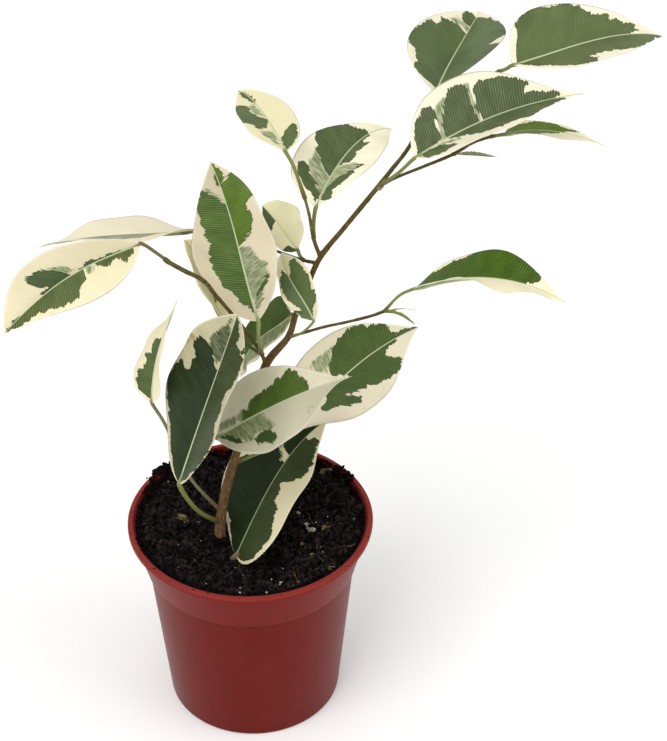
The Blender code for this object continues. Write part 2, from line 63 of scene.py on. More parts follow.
# Leaves: the blade's shell and its veins, in millimetres and degrees
BLADE_THICKNESS = 0.3
BLADE_ROWS = 96
BLADE_COLUMNS = 48
BLADE_END = 0.0015  # share of the length by which each end stops short, so that it keeps a width
ROW_CROWDING = 0.4  # 0 spaces the rows evenly, and more crowds them towards both ends
COLUMN_CROWDING = 1.35  # 1 spaces the columns evenly, and more crowds them towards the midrib
END_ROUNDING = 0.35  # higher values thin the blade sooner towards its ends
MARGIN_ROUNDING = (3, 0.8)  # powers that thin the blade towards its margin
WAVES_PER_BLADE = 2.3
TINY = 0.0001  # share of the blade's length over which its direction is read
MIDRIB_HALF = 0.25  # half the width in which the midrib's colour shows
CHANNEL = (0.12, 0.55)  # depth and half width of the furrow along the midrib
RIDGE = (-0.1, 0.2)  # the same of the ridge that stands in that furrow
RIB_END = 0.9  # share of the blade's length at which the rib under it ends
RIB_ROWS = 40
RIB_TIP = 0.1  # the rib's radius at the tip
RIB_SWELL = 0.4  # how much more it is at the blade's base
RIB_TAPER = 0.8
RIB_SINK = 0.07  # share of the blade's length over which the rib sinks under it
STALK_SIDES = 10
STALK_STEP = 0.6  # about how far apart the stalk's rings lie
FADE_RINGS = 4  # over which the stalk's colour ends under the blade
DRIP_POWER = 6  # higher values keep a drip tip shorter
VEIN_STEP = 0.62  # from one side vein to the next
WAVE_TURNS = 20  # radians in one unit of a Wave Texture of scale 1
JAGS = (2.2, 1.3)  # how far the broad and the fine chance pattern move a patch's edge
VEIN_JAG = 0.18  # how far a patch's edge draws back at a side vein
EDGE_PARTS = 4  # into which each edge of a patch is cut before it is laid on the blade
SEED_STEP = 3.7  # shifts the chance patterns from one leaf to the next
FAR = 9.0  # stands for a distance that is too great to matter
CROSSING = 0.17  # share of the half width by which a patch of one half may cross the midrib
NEAR_MIDRIB = 0.06  # share of the half width within which a patch's corner is on the midrib
LEAF_VECTORS = ("leaf_place", "leaf_tones", "leaf_marks")

UNLIKE = (0.31, 0.9, 0.27)  # a direction in which no tube starts

# Sockets of a colour Mix node, which share their names with those of its other kinds
FACTOR, LOWER, UPPER, MIXED = 0, 6, 7, 2

# Inputs of the tree that strews grains, with the kind of each
STREW_INPUTS = {
    "Geometry": "Geometry",
    **dict.fromkeys(("Density", "Smallest", "Largest", "Rough", "Lift"), "Float"),
    "Seed": "Int",
    "Material": "Material",
}

Point2 = tuple[float, float]
Point3 = tuple[float, float, float]


def linear(colour: str) -> tuple[float, float, float, float]:
    """Turn an sRGB hex colour into the linear RGBA that a socket takes.

    Args:
        colour: the colour as "#RRGGBB".

    Returns:
        Linear red, green and blue from 0 to 1, and an alpha of 1.
    """
    channels = [int(colour[i : i + 2], 16) / 255 for i in (1, 3, 5)]
    r, g, b = (c / 12.92 if c <= 0.04045 else ((c + 0.055) / 1.055) ** 2.4 for c in channels)
    return (r, g, b, 1.0)


def fill(node: bpy.types.Node, inputs: dict) -> None:
    """Set or link the inputs of a node.

    Args:
        node: the node.
        inputs: what each input holds, by its name or number: a value, or an output to link from.
    """
    for key, value in inputs.items():
        if isinstance(value, bpy.types.NodeSocket):
            node.id_data.links.new(value, node.inputs[key])
        else:
            node.inputs[key].default_value = value


def add_node(tree: bpy.types.NodeTree, kind: str, inputs: dict | None = None, **settings) -> bpy.types.Node:
    """Add one node to a tree.

    Args:
        tree: the shader or geometry tree that gets the node.
        kind: the node's type, such as "ShaderNodeMix".
        inputs: what its inputs hold, as for fill.
        **settings: the node's own options.

    Returns:
        The new node.
    """
    node = tree.nodes.new(kind)
    for key, value in settings.items():
        setattr(node, key, value)
    fill(node, inputs or {})
    return node


def mesh_object(name: str, mesh: bpy.types.Mesh) -> bpy.types.Object:
    """Put a mesh in the scene as an object at the origin."""
    item = bpy.data.objects.new(name, mesh)
    bpy.context.scene.collection.objects.link(item)
    return item


def baked(item: bpy.types.Object) -> bpy.types.Object:
    """Turn an object with modifiers into a plain mesh object of the same name.

    Args:
        item: the object, which is removed.

    Returns:
        The plain object.
    """
    graph = bpy.context.evaluated_depsgraph_get()
    mesh = bpy.data.meshes.new_from_object(item.evaluated_get(graph))
    name = item.name
    bpy.data.objects.remove(item, do_unlink=True)
    mesh.name = name
    return mesh_object(name, mesh)


def register(item: bpy.types.Object, slot: str, *nodes: str) -> None:
    """Let a piece ride on the body and stand for its plain solids.

    Args:
        item: the finished piece.
        slot: the material slot that its finish belongs to; not used.
        *nodes: the solids that it stands for, if any.
    """
    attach(item, BODY)
    if nodes:
        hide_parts(*nodes)
    LOG.info("%s: %d faces", item.name, len(item.data.polygons))


def unit(rows: np.ndarray) -> np.ndarray:
    """Scale each row to length one."""
    rows = np.asarray(rows, float)
    return rows / np.linalg.norm(rows, axis=-1, keepdims=True)


def smooth_path(points: list | tuple | np.ndarray, steps: int) -> np.ndarray:
    """Run a Catmull-Rom curve through rows of numbers.

    Args:
        points: the rows that the curve goes through.
        steps: how many steps it takes between two rows.

    Returns:
        The rows along the curve, from the first to the last.
    """
    rows = np.asarray(points, float)
    padded = np.vstack([2 * rows[0] - rows[1], rows, 2 * rows[-1] - rows[-2]])
    path = []
    for i in range(1, len(padded) - 2):
        before, start, end, after = padded[i - 1], padded[i], padded[i + 1], padded[i + 2]
        for k in range(steps):
            t = k / steps
            bend = (2 * before - 5 * start + 4 * end - after) * t**2
            turn = (3 * start - before - 3 * end + after) * t**3
            path.append(0.5 * (2 * start + (end - before) * t + bend + turn))
    path.append(rows[-1])
    return np.array(path)


def tube_rings(path: np.ndarray, radii: np.ndarray, sides: int) -> np.ndarray:
    """Place rings of points round a path, without twist from one ring to the next.

    Args:
        path: the rings' centres, one row each.
        radii: the rings' radii.
        sides: points in a ring.

    Returns:
        An array of rings by sides by three.
    """
    ahead = unit(np.gradient(path, axis=0))
    normal = np.cross(ahead[0], UNLIKE)
    rings = []
    angles = np.linspace(0, 2 * math.pi, sides, endpoint=False)
    for centre, direction, radius in zip(path, ahead, radii):
        normal = unit(normal - np.dot(normal, direction) * direction)
        other = np.cross(direction, normal)
        spokes = np.outer(np.cos(angles), normal) + np.outer(np.sin(angles), other)
        rings.append(centre + radius * spokes)
    return np.array(rings)


def add_tube(shape: bmesh.types.BMesh, rings: np.ndarray) -> None:
    """Skin rings of points, in millimetres, as a tube with closed ends.

    Args:
        shape: the mesh that gets the tube.
        rings: the points, rings by sides by three.
    """
    rows = [[shape.verts.new(point * MM) for point in ring] for ring in rings]
    sides = len(rows[0])
    faces = [rows[0][::-1], rows[-1]]
    for low, high in zip(rows, rows[1:]):
        for i in range(sides):
            j = (i + 1) % sides
            faces.append((low[i], low[j], high[j], high[i]))
    for corners in faces:
        shape.faces.new(corners).smooth = True


def finished(shape: bmesh.types.BMesh, name: str) -> bpy.types.Mesh:
    """Turn a bmesh with its faces pointing out into a mesh."""
    bmesh.ops.recalc_face_normals(shape, faces=shape.faces)
    mesh = bpy.data.meshes.new(name)
    shape.to_mesh(mesh)
    shape.free()
    return mesh


def inside_depth(points: np.ndarray, outline: np.ndarray, counted: np.ndarray) -> np.ndarray:
    """Measure how deep points lie inside a closed outline.

    Args:
        points: (x, y) rows.
        outline: the outline's corners as (x, y) rows.
        counted: for each corner, whether the distance to the edge that starts there counts.

    Returns:
        The distance to the outline, above 0 for a point inside it and below 0 for one outside.
    """
    nearest = np.full(len(points), FAR)
    inside = np.zeros(len(points), bool)
    for start, end, counts in zip(outline, np.roll(outline, -1, axis=0), counted):
        side = end - start
        share = np.clip((points - start) @ side / max(side @ side, 1e-12), 0, 1)
        if counts:
            nearest = np.minimum(nearest, np.linalg.norm(points - start - share[:, None] * side, axis=1))
        if start[1] != end[1]:
            crossing = start[0] + (points[:, 1] - start[1]) / side[1] * side[0]
            inside ^= ((points[:, 1] < start[1]) != (points[:, 1] < end[1])) & (points[:, 0] < crossing)
    return np.where(inside, nearest, -nearest)


def start_material(name: str) -> tuple[bpy.types.Material, Callable, bpy.types.Node]:
    """Start a material on the Principled shader.

    Args:
        name: what the real material is.

    Returns:
        The material, the call that adds a node to it, and its shader node.
    """
    material = bpy.data.materials.new(name)
    material.use_nodes = True
    tree = material.node_tree
    return material, partial(add_node, tree), tree.nodes["Principled BSDF"]


@dataclass(frozen=True)
class LeafFinish:
    """Colours of one leaf's blade and stalk."""

    slot: str
    half_greens_and_shading: tuple[str, str]  # of the left and the right half; where they differ, partly the leaf's own tones and partly painted light and shade
    pale: str = "#93A174"
    deep: str = "#3E5A30"
    cream: str = "#E6DDBC"
    left_cream_painted_shading: str | None = None  # of the left half where it differs from the right, lighter or darker as painted light and shade
    cream_shade: str = "#D5CCA4"  # of the faint clouds in the cream
    # a painted highlight: the paler line where the blade's margin catches the light
    rim: str = "#F6F0D8"
    midrib: str = "#B4BD98"
    vein: str = "#9AA884"
    veins: float = 0.5  # how clearly the side veins stand out on the green
    stalk: str = "#737A40"
    stalk_foot: str = "#5C4726"
    underside: str = "#B7BF93"
    roughness: float = 0.42
    ragged: float = 1.0  # how far the edges of the green wander, against the usual
    specular: float = 0.2
    streaks: float = 0.5  # how strongly green streaks run through the pale tone
    stain: str = "#7A5A34"  # of the leaf's brown spots

    def material(self, name: str, seed: float) -> bpy.types.Material:
        """Make the leaf's material.

        Fig leaf blade, a waxy cuticle over green and cream tissue. To the eye that is a satin sheen along
        the fold, green that ends in teeth along the side veins, and cream where no green grows, whose
        margin carries a painted highlight as a paler line.

        Args:
            name: the material's name.
            seed: shifts the chance patterns, so that no two leaves match.

        Returns:
            The material.
        """
        material, node, shader = start_material(name)
        vectors = [node("ShaderNodeAttribute", attribute_name=key).outputs["Vector"] for key in LEAF_VECTORS]
        where = vectors[0]
        parts = [node("ShaderNodeSeparateXYZ", {0: vector}).outputs for vector in vectors]
        (across, sideways, rib), tones, (edge, spot, stalk) = parts
        under = node("ShaderNodeAttribute", attribute_name="leaf_under").outputs["Fac"]

        # Side veins, some stronger than others
        lines = {"Scale": math.tau / (WAVE_TURNS * VEIN_STEP), "Distortion": 0.8, "Detail": 1.0}
        wave = node("ShaderNodeTexWave", {"Vector": where, **lines}, bands_direction="X").outputs["Fac"]
        line = node("ShaderNodeMapRange", {0: wave, 1: 0.86, 2: 1.0}).outputs[0]

        # Chance patterns, as cells in a millimetre across the side veins and along them
        patterns = []
        for cells in ((0.6, 0.22, 0.0), (1.9, 0.5, 0.0), (0.22, 0.16, 0.0)):
            vector = {0: where, 1: cells, 2: (seed, 0.0, seed)}
            vector = node("ShaderNodeVectorMath", vector, operation="MULTIPLY_ADD").outputs[0]
            pattern = {"Vector": vector, "Scale": 1.0, "Detail": 2.0}
            patterns.append(node("ShaderNodeTexNoise", pattern).outputs[0])
        broad, fine, cloud = patterns

        # Each tone's depth inside its patches, whose edges wander with those patterns
        jag = -sum(JAGS) / 2 * self.ragged
        for pattern, reach in zip((broad, fine, line), (*JAGS, -VEIN_JAG)):
            jag = {0: pattern, 1: reach * self.ragged, 2: jag}
            jag = node("ShaderNodeMath", jag, operation="MULTIPLY_ADD").outputs[0]
        depths = [node("ShaderNodeMath", {0: tone, 1: jag}, operation="ADD").outputs[0] for tone in tones]
        masks = []
        for depth, softness in zip(depths, (0.07, 0.4, 0.15)):
            span = {0: depth, 1: -softness, 2: softness}
            masks.append(node("ShaderNodeMapRange", span, interpolation_type="SMOOTHSTEP").outputs[0])
        green_mask, pale_mask, deep_mask = masks

        # A value, the range that counts in it, and the range it turns into where that isn't 0 to 1
        spans = {
            "side": (sideways, -0.2, 0.2),
            "shade": (cloud, 0.3, 0.7, 0.85, 1.15),
            "vein": (broad, 0.35, 0.65, 0.25 * self.veins, self.veins),
            "border": (depths[0], 0.0, 0.5, 0.76, 1.0),
            "streak": (fine, 0.42, 0.66, 0.0, self.streaks),
            "mottle": (fine, 0.3, 0.6, 0.75, 1.0),
            "foot": (across, 1.0, 5.0, 0.75, 0.0),
            "cloud": (cloud, 0.35, 0.7, 0.0, 0.3),
            "rim": (edge, 0.15, 0.6, 0.5, 0.0),
            "rib": (rib, 1.15, 0.75),
            "spot": (spot, -0.3, 0.5),
            "gloss": (fine, 0.0, 1.0, self.roughness - 0.06, self.roughness + 0.08),
        }
        at = {
            key: node("ShaderNodeMapRange", dict(enumerate(span))).outputs[0] for key, span in spans.items()
        }
        products = ((at["vein"], line), (pale_mask, at["mottle"]), (under, 0.45))
        vein, pale_mask, under_mask = (
            node("ShaderNodeMath", {0: first, 1: second}, operation="MULTIPLY").outputs[0]
            for first, second in products
        )

        # The green with its veins and darker borders, and the other colours under it and over it
        # Where the two halves' greens differ, that is partly painted light and shade
        left, right = (linear(colour) for colour in self.half_greens_and_shading)
        green = {FACTOR: at["side"], LOWER: left, UPPER: right}
        green = node("ShaderNodeMix", green, data_type="RGBA").outputs[MIXED]
        green = node("ShaderNodeVectorMath", {0: green, "Scale": at["shade"]}, operation="SCALE").outputs[0]
        green = {FACTOR: vein, LOWER: green, UPPER: linear(self.vein)}
        green = node("ShaderNodeMix", green, data_type="RGBA").outputs[MIXED]
        green = node("ShaderNodeVectorMath", {0: green, "Scale": at["border"]}, operation="SCALE").outputs[0]
        pairs = (
            (at["streak"], linear(self.pale), green),
            (at["foot"], linear(self.stalk), linear(self.stalk_foot)),
            # the left half's cream carries painted light and shade
            (at["side"], linear(self.left_cream_painted_shading or self.cream), linear(self.cream)),
        )
        pale, petiole, colour = (
            node("ShaderNodeMix", {FACTOR: mask, LOWER: low, UPPER: high}, data_type="RGBA").outputs[MIXED]
            for mask, low, high in pairs
        )
        layers = (
            (at["cloud"], linear(self.cream_shade)),
            # painted highlight along the margin
            (at["rim"], linear(self.rim)),
            (pale_mask, pale),
            (green_mask, green),
            (deep_mask, linear(self.deep)),
            (at["rib"], linear(self.midrib)),
            (at["spot"], linear(self.stain)),
            (under_mask, linear(self.underside)),
            (stalk, petiole),
        )
        for mask, top in layers:
            colour = {FACTOR: mask, LOWER: colour, UPPER: top}
            colour = node("ShaderNodeMix", colour, data_type="RGBA").outputs[MIXED]
        gloss = node("ShaderNodeMix", {0: under, 2: at["gloss"], 3: 0.62}, data_type="FLOAT").outputs[0]
        relief = node("ShaderNodeMath", {0: wave, 1: 0.6, 2: fine}, operation="MULTIPLY_ADD").outputs[0]
        bump = node("ShaderNodeBump", {"Strength": 0.7, "Distance": 0.05 * MM, "Height": relief}).outputs[0]
        looks = {"Base Color": colour, "Roughness": gloss, "Specular IOR Level": self.specular}
        fill(shader, {**looks, "Normal": bump})
        return material


class Tone(Enum):
    """A tone that a patch of the blade can have besides cream."""

    GREEN = "the leaf's own green"
    PALE = "pale grey green"
    DEEP = "a deeper green"


@dataclass(frozen=True)
class Leaf:
    """One leaf: its stalk, its midrib and how the two halves of the blade lie along it.

    Pairs are (left, right) as seen on the upper side, looking from the stalk to the tip.
    """

    name: str
    stalk: tuple[Point3, ...]  # points from the middle of the stem towards the blade
    midrib: tuple[Point3, ...]  # points at 0, 1/3, 2/3 and all of the blade's length
    facing: tuple[Point3, ...]  # where the upper side looks at the base, the middle and the tip
    half_widths: Point2
    folds: Point2  # degrees by which each half is lifted from flat
    widest: Point2  # share of the length at which each half is widest
    taper: float  # higher values draw both ends out to a point
    waves: tuple[Point2, Point2]  # (height, phase) of the wave along each margin
    finish: LeafFinish
    vein_angle: float = 70  # degrees between the midrib and the side veins
    spots: tuple[Point3, ...] = ()  # (share of the length, share of the half width, radius)
    drips: Point2 = (0, 0)  # how far each half is drawn in towards a drip tip
    stalk_radius: float = 0.43

    def midrib_points(self, shares: np.ndarray) -> np.ndarray:
        """Give the points at shares of the blade's length, on the cubic through the midrib's points."""
        third, two_thirds, end = shares - 1 / 3, shares - 2 / 3, shares - 1
        weights = (
            -4.5 * third * two_thirds * end,
            13.5 * shares * two_thirds * end,
            -13.5 * shares * third * end,
            4.5 * shares * third * two_thirds,
        )
        return sum(np.outer(weight, point) for weight, point in zip(weights, self.midrib))

    def frames(self, shares: np.ndarray) -> tuple[np.ndarray, np.ndarray, np.ndarray]:
        """Lay a frame along the midrib.

        Args:
            shares: shares of the blade's length.

        Returns:
            The midrib's points, the upper side's normals, and the directions to the right margin.
        """
        ahead = unit(self.midrib_points(shares + TINY) - self.midrib_points(shares - TINY))
        base, middle, tip = self.facing
        facing = (
            np.outer((1 - shares) * (1 - 2 * shares), base)
            + np.outer(4 * shares * (1 - shares), middle)
            + np.outer(shares * (2 * shares - 1), tip)
        )
        normal = unit(facing - (facing * ahead).sum(axis=1, keepdims=True) * ahead)
        return self.midrib_points(shares), normal, np.cross(ahead, normal)

    def half_width(self, shares: np.ndarray, side: int) -> np.ndarray:
        """Give the width of one half of the blade at shares of its length."""
        widest = self.widest[side]
        rise, fall = self.taper * widest, self.taper * (1 - widest)
        peak = widest**rise * (1 - widest) ** fall
        drawn_in = 1 - self.drips[side] * shares**DRIP_POWER
        return self.half_widths[side] * drawn_in * shares**rise * (1 - shares) ** fall / peak

    def length(self) -> float:
        """Give the blade's length along its midrib."""
        points = self.midrib_points(np.linspace(0, 1, 60))
        return float(np.linalg.norm(np.diff(points, axis=0), axis=1).sum())

    def flat(self, shares: np.ndarray, places: np.ndarray) -> np.ndarray:
        """Flatten places on the blade.

        Args:
            shares: shares of the blade's length.
            places: shares of the half width there, negative on the left.

        Returns:
            (along, sideways) in millimetres, one row for each place.
        """
        shares = np.clip(shares, 0.001, 0.999)
        widths = np.where(places < 0, self.half_width(shares, 0), self.half_width(shares, 1))
        return np.stack([shares * self.length(), places * widths], axis=-1)

    def surface(self, shares: np.ndarray, places: np.ndarray) -> tuple[np.ndarray, np.ndarray, np.ndarray]:
        """Bend the flat blade to its folds and waves.

        Args:
            shares: shares of the blade's length.
            places: shares of the half width, from -1 at the left margin to 1 at the right.

        Returns:
            The grid's points, the normals along the midrib, and each point's distance from the midrib.
        """
        centre, normal, across = self.frames(shares)
        points = np.empty((len(shares), len(places), 3))
        reaches = np.empty((len(shares), len(places)))
        for j, place in enumerate(places):
            side = 1 if place >= 0 else 0
            reach = abs(place) * self.half_width(shares, side)
            fold = math.radians(self.folds[side])
            height, phase = self.waves[side]
            swing = np.sin(math.tau * (WAVES_PER_BLADE * shares + phase)) * np.sqrt(np.sin(math.pi * shares))
            lift = reach * math.sin(fold) + height * place**2 * swing
            sideways = np.copysign(reach * math.cos(fold), place)
            points[:, j] = centre + across * sideways[:, None] + normal * lift[:, None]
            reaches[:, j] = reach
        return points, normal, reaches

    def tones(self, flat: np.ndarray) -> np.ndarray:
        """Measure how deep each place lies inside the patches of each tone.

        Args:
            flat: (along, sideways) places in millimetres.

        Returns:
            One column for each tone: millimetres inside its nearest patch, or less than 0 outside.
        """
        depths = np.full((len(flat), len(Tone)), -FAR)
        steps = np.linspace(0, 1, EDGE_PARTS, endpoint=False)[:, None]
        for column, tone in enumerate(Tone):
            for outline in PATCHES[self.name].get(tone, ()):
                corners = np.array(outline, float) / 100
                pairs = zip(corners, np.roll(corners, -1, axis=0))
                fine = np.vstack([start + (end - start) * steps for start, end in pairs])
                line = self.flat(fine[:, 0], fine[:, 1])
                side = 1 if fine[:, 1].max() > -fine[:, 1].min() else -1
                counted, there = np.ones(len(fine), bool), np.ones(len(flat), bool)
                if (fine[:, 1] * side).min() > -CROSSING:
                    # A patch of one half ends at the midrib in a clean line, so only its other edges count
                    near = fine[:, 1] * side < NEAR_MIDRIB
                    line[near, 1] -= side
                    counted = ~(near & np.roll(near, -1))
                    there = flat[:, 1] * side >= 0
                depth = np.where(there, inside_depth(flat, line, counted), -FAR)
                depths[:, column] = np.maximum(depths[:, column], depth)
        return depths

    def stalk_path(self) -> np.ndarray:
        """Give the points along the leaf stalk, from the middle of the stem to the blade's base."""
        beyond = self.midrib_points(np.array([0.1]))[0]
        steps = 12
        return smooth_path([*self.stalk, self.midrib[0], beyond], steps)[:-steps]

    def marks(self, shares: np.ndarray, places: np.ndarray) -> dict[str, np.ndarray]:
        """Work out what the finish reads at points of the blade.

        Args:
            shares: each point's share of the blade's length.
            places: each point's share of the half width there, negative on the left.

        Returns:
            The rows of each of the leaf's vector attributes.
        """
        flat = self.flat(shares, places)
        widths = np.where(places < 0, self.half_width(shares, 0), self.half_width(shares, 1))
        spot = np.full(len(flat), -FAR)
        for share, place, radius in self.spots:
            centre = self.flat(np.array([share]), np.array([place]))[0]
            spot = np.maximum(spot, radius - np.linalg.norm(flat - centre, axis=1))
        along = flat[:, 0] - np.abs(flat[:, 1]) / math.tan(math.radians(self.vein_angle))
        rib = np.abs(flat[:, 1]) / (MIDRIB_HALF * (1.15 - 0.8 * shares))
        edge = widths * (1 - np.abs(places))
        rows = (
            np.stack([along, flat[:, 1], rib], axis=1),
            self.tones(flat),
            np.stack([edge, spot, np.zeros(len(flat))], axis=1),
        )
        return dict(zip(LEAF_VECTORS, rows))

    def add_blade(self, shape: bmesh.types.BMesh, layers: dict[str, bmesh.types.BMLayerItem]) -> None:
        """Add the blade as a closed thin shell with a rounded margin and a channel along its midrib.

        Args:
            shape: the mesh that gets the blade.
            layers: the mesh's attribute layers by name.
        """
        even = np.linspace(0, 1, BLADE_ROWS + 1)
        crowded = (1 - ROW_CROWDING) * even + ROW_CROWDING / 2 * (1 - np.cos(math.pi * even))
        shares = BLADE_END + (1 - 2 * BLADE_END) * crowded
        steps = np.linspace(-1, 1, BLADE_COLUMNS + 1)
        places = np.sign(steps) * np.abs(steps) ** COLUMN_CROWDING
        middle, normal, reach = self.surface(shares, places)
        end = np.sin(math.pi * even)[:, None] ** END_ROUNDING
        margin, power = MARGIN_ROUNDING
        half = BLADE_THICKNESS / 2 * end * (1 - np.abs(places[None, :]) ** margin) ** power
        channel = end * sum(depth * np.exp(-((reach / wide) ** 2)) for depth, wide in (CHANNEL, RIDGE))
        marks = self.marks(*(grid.ravel() for grid in np.meshgrid(shares, places, indexing="ij")))
        wide = BLADE_COLUMNS + 1
        sheets = []
        for under in (0, 1):
            offset = (-half if under else half - channel)[:, :, None] * normal[:, None, :]
            sheet = []
            for i, point in enumerate((middle + offset).reshape(-1, 3)):
                row, column = divmod(i, wide)
                if under and (row in (0, BLADE_ROWS) or column in (0, BLADE_COLUMNS)):
                    sheet.append(sheets[0][i])
                    continue
                vertex = shape.verts.new(point * MM)
                for name, rows in marks.items():
                    vertex[layers[name]] = rows[i]
                vertex[layers["leaf_under"]] = under
                sheet.append(vertex)
            sheets.append(sheet)
        for under, sheet in enumerate(sheets):
            for a in (i * wide + j for i in range(BLADE_ROWS) for j in range(BLADE_COLUMNS)):
                corners = [sheet[a], sheet[a + 1], sheet[a + wide + 1], sheet[a + wide]]
                shape.faces.new(corners if under else corners[::-1]).smooth = True

    def add_stalk(self, shape: bmesh.types.BMesh, layers: dict[str, bmesh.types.BMLayerItem]) -> None:
        """Add the round leaf stalk, which runs on as the rib under the blade.

        Args:
            shape: the mesh that gets the stalk.
            layers: the mesh's attribute layers by name.
        """
        stalk = self.stalk_path()
        shares = np.linspace(0, RIB_END, RIB_ROWS)[1:]
        centre, normal, _ = self.frames(shares)
        small = min(1.0, self.half_widths[1] / 6)
        radius = small * (RIB_SWELL * (1 - shares) ** RIB_TAPER + RIB_TIP)
        sink = (radius - RIB_TIP) * np.clip(shares / RIB_SINK, 0, 1)
        path = np.vstack([stalk, centre - normal * sink[:, None]])
        far = np.linspace(0, 1, len(stalk))
        cushion = small * (self.stalk_radius + 0.14 * np.exp(-((far / 0.16) ** 2)) + 0.05 * far**4)
        first = len(shape.verts)
        add_tube(shape, tube_rings(path, np.concatenate([cushion, radius]), STALK_SIDES))
        shape.verts.ensure_lookup_table()
        fade_end = len(stalk) + FADE_RINGS - 1
        for i, vertex in enumerate(shape.verts[first:]):
            ring = i // STALK_SIDES
            vertex[layers["leaf_place"]] = (ring * STALK_STEP, 0, 0)
            vertex[layers["leaf_tones"]] = (-FAR, -FAR, -FAR)
            vertex[layers["leaf_marks"]] = (FAR, -FAR, float(np.clip((fade_end - ring) / FADE_RINGS, 0, 1)))
            vertex[layers["leaf_under"]] = 1.0 if ring > fade_end else 0.0

    def build(self) -> bpy.types.Object:
        """Build the leaf's mesh with its attributes."""
        shape = bmesh.new()
        layers = {name: shape.verts.layers.float_vector.new(name) for name in LEAF_VECTORS}
        layers["leaf_under"] = shape.verts.layers.float.new("leaf_under")
        self.add_blade(shape, layers)
        self.add_stalk(shape, layers)
        return mesh_object(self.name + "_blade", finished(shape, self.name + "_blade"))

    def dress(self, item: bpy.types.Object, seed: float) -> None:
        """Give the leaf its finish and its place in the model."""
        item.data.materials.append(self.finish.material("waxy_fig_" + self.name, seed))
        register(item, self.finish.slot, self.name)


@dataclass(frozen=True)
class PlasticFinish:
    """Colours of the pot, and where in millimetres one turns into the next."""

    body: str = "#66120C"
    # of the band: a deeper red, painted shade that takes back the grey sheen its steeper face catches
    collar: str = "#6E0D06"
    light: str = "#822C26"  # of the lip, paler as painted light on its upturned faces
    inner: str = "#4E0A0C"  # of the lip's shaded inner side
    dust: str = "#7A4A3E"
    speck: str = "#2A1B14"
    collar_heights: Point2 = (43.5, 44.5)
    lip_heights: Point2 = (56.2, 57.2)
    inner_radii: Point2 = (31.0, 30.7)
    specular: float = 0.075

    def material(self) -> bpy.types.Material:
        """Make the pot's material.

        Polypropylene, injection moulded with a fine matt grain. To the eye that is an even red brown with
        a broad dull sheen, a little soil dust, and dark specks of peat.

        Returns:
            The material.
        """
        material, node, shader = start_material("moulded_polypropylene_red")
        where = node("ShaderNodeTexCoord").outputs["Object"]
        height = node("ShaderNodeSeparateXYZ", {0: where}).outputs[2]
        flat, upright = (
            node("ShaderNodeVectorMath", {0: where, 1: factors}, operation="MULTIPLY").outputs[0]
            for factors in ((1.0, 1.0, 0.0), (900.0, 900.0, 120.0))
        )
        reach = node("ShaderNodeVectorMath", {0: flat}, operation="LENGTH").outputs["Value"]

        # Flow marks 3 mm wide and 24 mm high, clouds of 17 mm, specks of 1 mm and a grain of 0.2 mm
        patterns = ((upright, 0.35, 4.0), (where, 60.0, 3.0), (where, 900.0, 2.0), (where, 4500.0, 2.0))
        streak, cloud, speck, grain = (
            node("ShaderNodeTexNoise", {"Vector": vector, "Scale": scale, "Detail": detail}).outputs[0]
            for vector, scale, detail in patterns
        )
        spans = {
            "collar": (height, *(edge * MM for edge in self.collar_heights)),
            "lip": (height, *(edge * MM for edge in self.lip_heights)),
            "inner": (reach, *(edge * MM for edge in self.inner_radii)),
            "shade": (streak, 0.35, 0.65, 0.95, 1.04),
            "dust": (cloud, 0.52, 0.75, 0.0, 0.1),
            "speck": (speck, 0.67, 0.71),
            "gloss": (cloud, 0.0, 1.0, 0.3, 0.42),
        }
        at = {
            key: node("ShaderNodeMapRange", dict(enumerate(span))).outputs[0] for key, span in spans.items()
        }
        # Painted light and shade: the lip is painted paler where it faces up, its inner side darker as
        # painted shade, and the band a deeper red that takes back the grey sheen on its steeper face
        colour = linear(self.body)
        for mask, top in ((at["collar"], self.collar), (at["lip"], self.light)):
            colour = {FACTOR: mask, LOWER: colour, UPPER: linear(top)}
            colour = node("ShaderNodeMix", colour, data_type="RGBA").outputs[MIXED]
        colour = {0: colour, "Scale": at["shade"]}
        colour = node("ShaderNodeVectorMath", colour, operation="SCALE").outputs[0]
        inner = node("ShaderNodeMath", {0: at["inner"], 1: at["lip"]}, operation="MULTIPLY").outputs[0]
        for mask, top in ((inner, self.inner), (at["dust"], self.dust), (at["speck"], self.speck)):
            colour = {FACTOR: mask, LOWER: colour, UPPER: linear(top)}
            colour = node("ShaderNodeMix", colour, data_type="RGBA").outputs[MIXED]
        bump = {"Strength": 0.35, "Distance": 0.03 * MM, "Height": grain}
        bump = node("ShaderNodeBump", bump).outputs[0]
        looks = {"Base Color": colour, "Roughness": at["gloss"], "Specular IOR Level": self.specular}
        fill(shader, {**looks, "Normal": bump})
        return material


@dataclass(frozen=True)
class GritFinish:
    """Colours of one kind of loose grain in the potting mix."""

    name: str
    dark: str
    light: str
    grain: float  # millimetres across a fleck of colour
    roughness: float = 0.95
    specular: float = 0.1

    def material(self) -> bpy.types.Material:
        """Make the grain's material.

        Peat, bark crumbs, fibres and perlite are broken, never polished, and the peat and bark are damp.
        To the eye that is hardly any shine, and a colour that changes from crumb to crumb.

        Returns:
            The material.
        """
        material, node, shader = start_material(self.name)
        where = node("ShaderNodeTexCoord").outputs["Object"]
        fleck = {"Vector": where, "Scale": 1 / (self.grain * MM), "Detail": 3.0, "Roughness": 0.65}
        fleck = node("ShaderNodeTexNoise", fleck).outputs[0]
        fleck = node("ShaderNodeMapRange", {0: fleck, 1: 0.42, 2: 0.7}).outputs[0]
        colour = {FACTOR: fleck, LOWER: linear(self.dark), UPPER: linear(self.light)}
        colour = node("ShaderNodeMix", colour, data_type="RGBA").outputs[MIXED]
        fine = {"Vector": where, "Scale": 4 / (self.grain * MM), "Detail": 3.0}
        fine = node("ShaderNodeTexNoise", fine).outputs[0]
        bump = node("ShaderNodeBump", {"Strength": 0.8, "Distance": 0.12 * MM, "Height": fine}).outputs[0]
        looks = {"Base Color": colour, "Roughness": self.roughness, "Specular IOR Level": self.specular}
        fill(shader, {**looks, "Normal": bump})
        return material


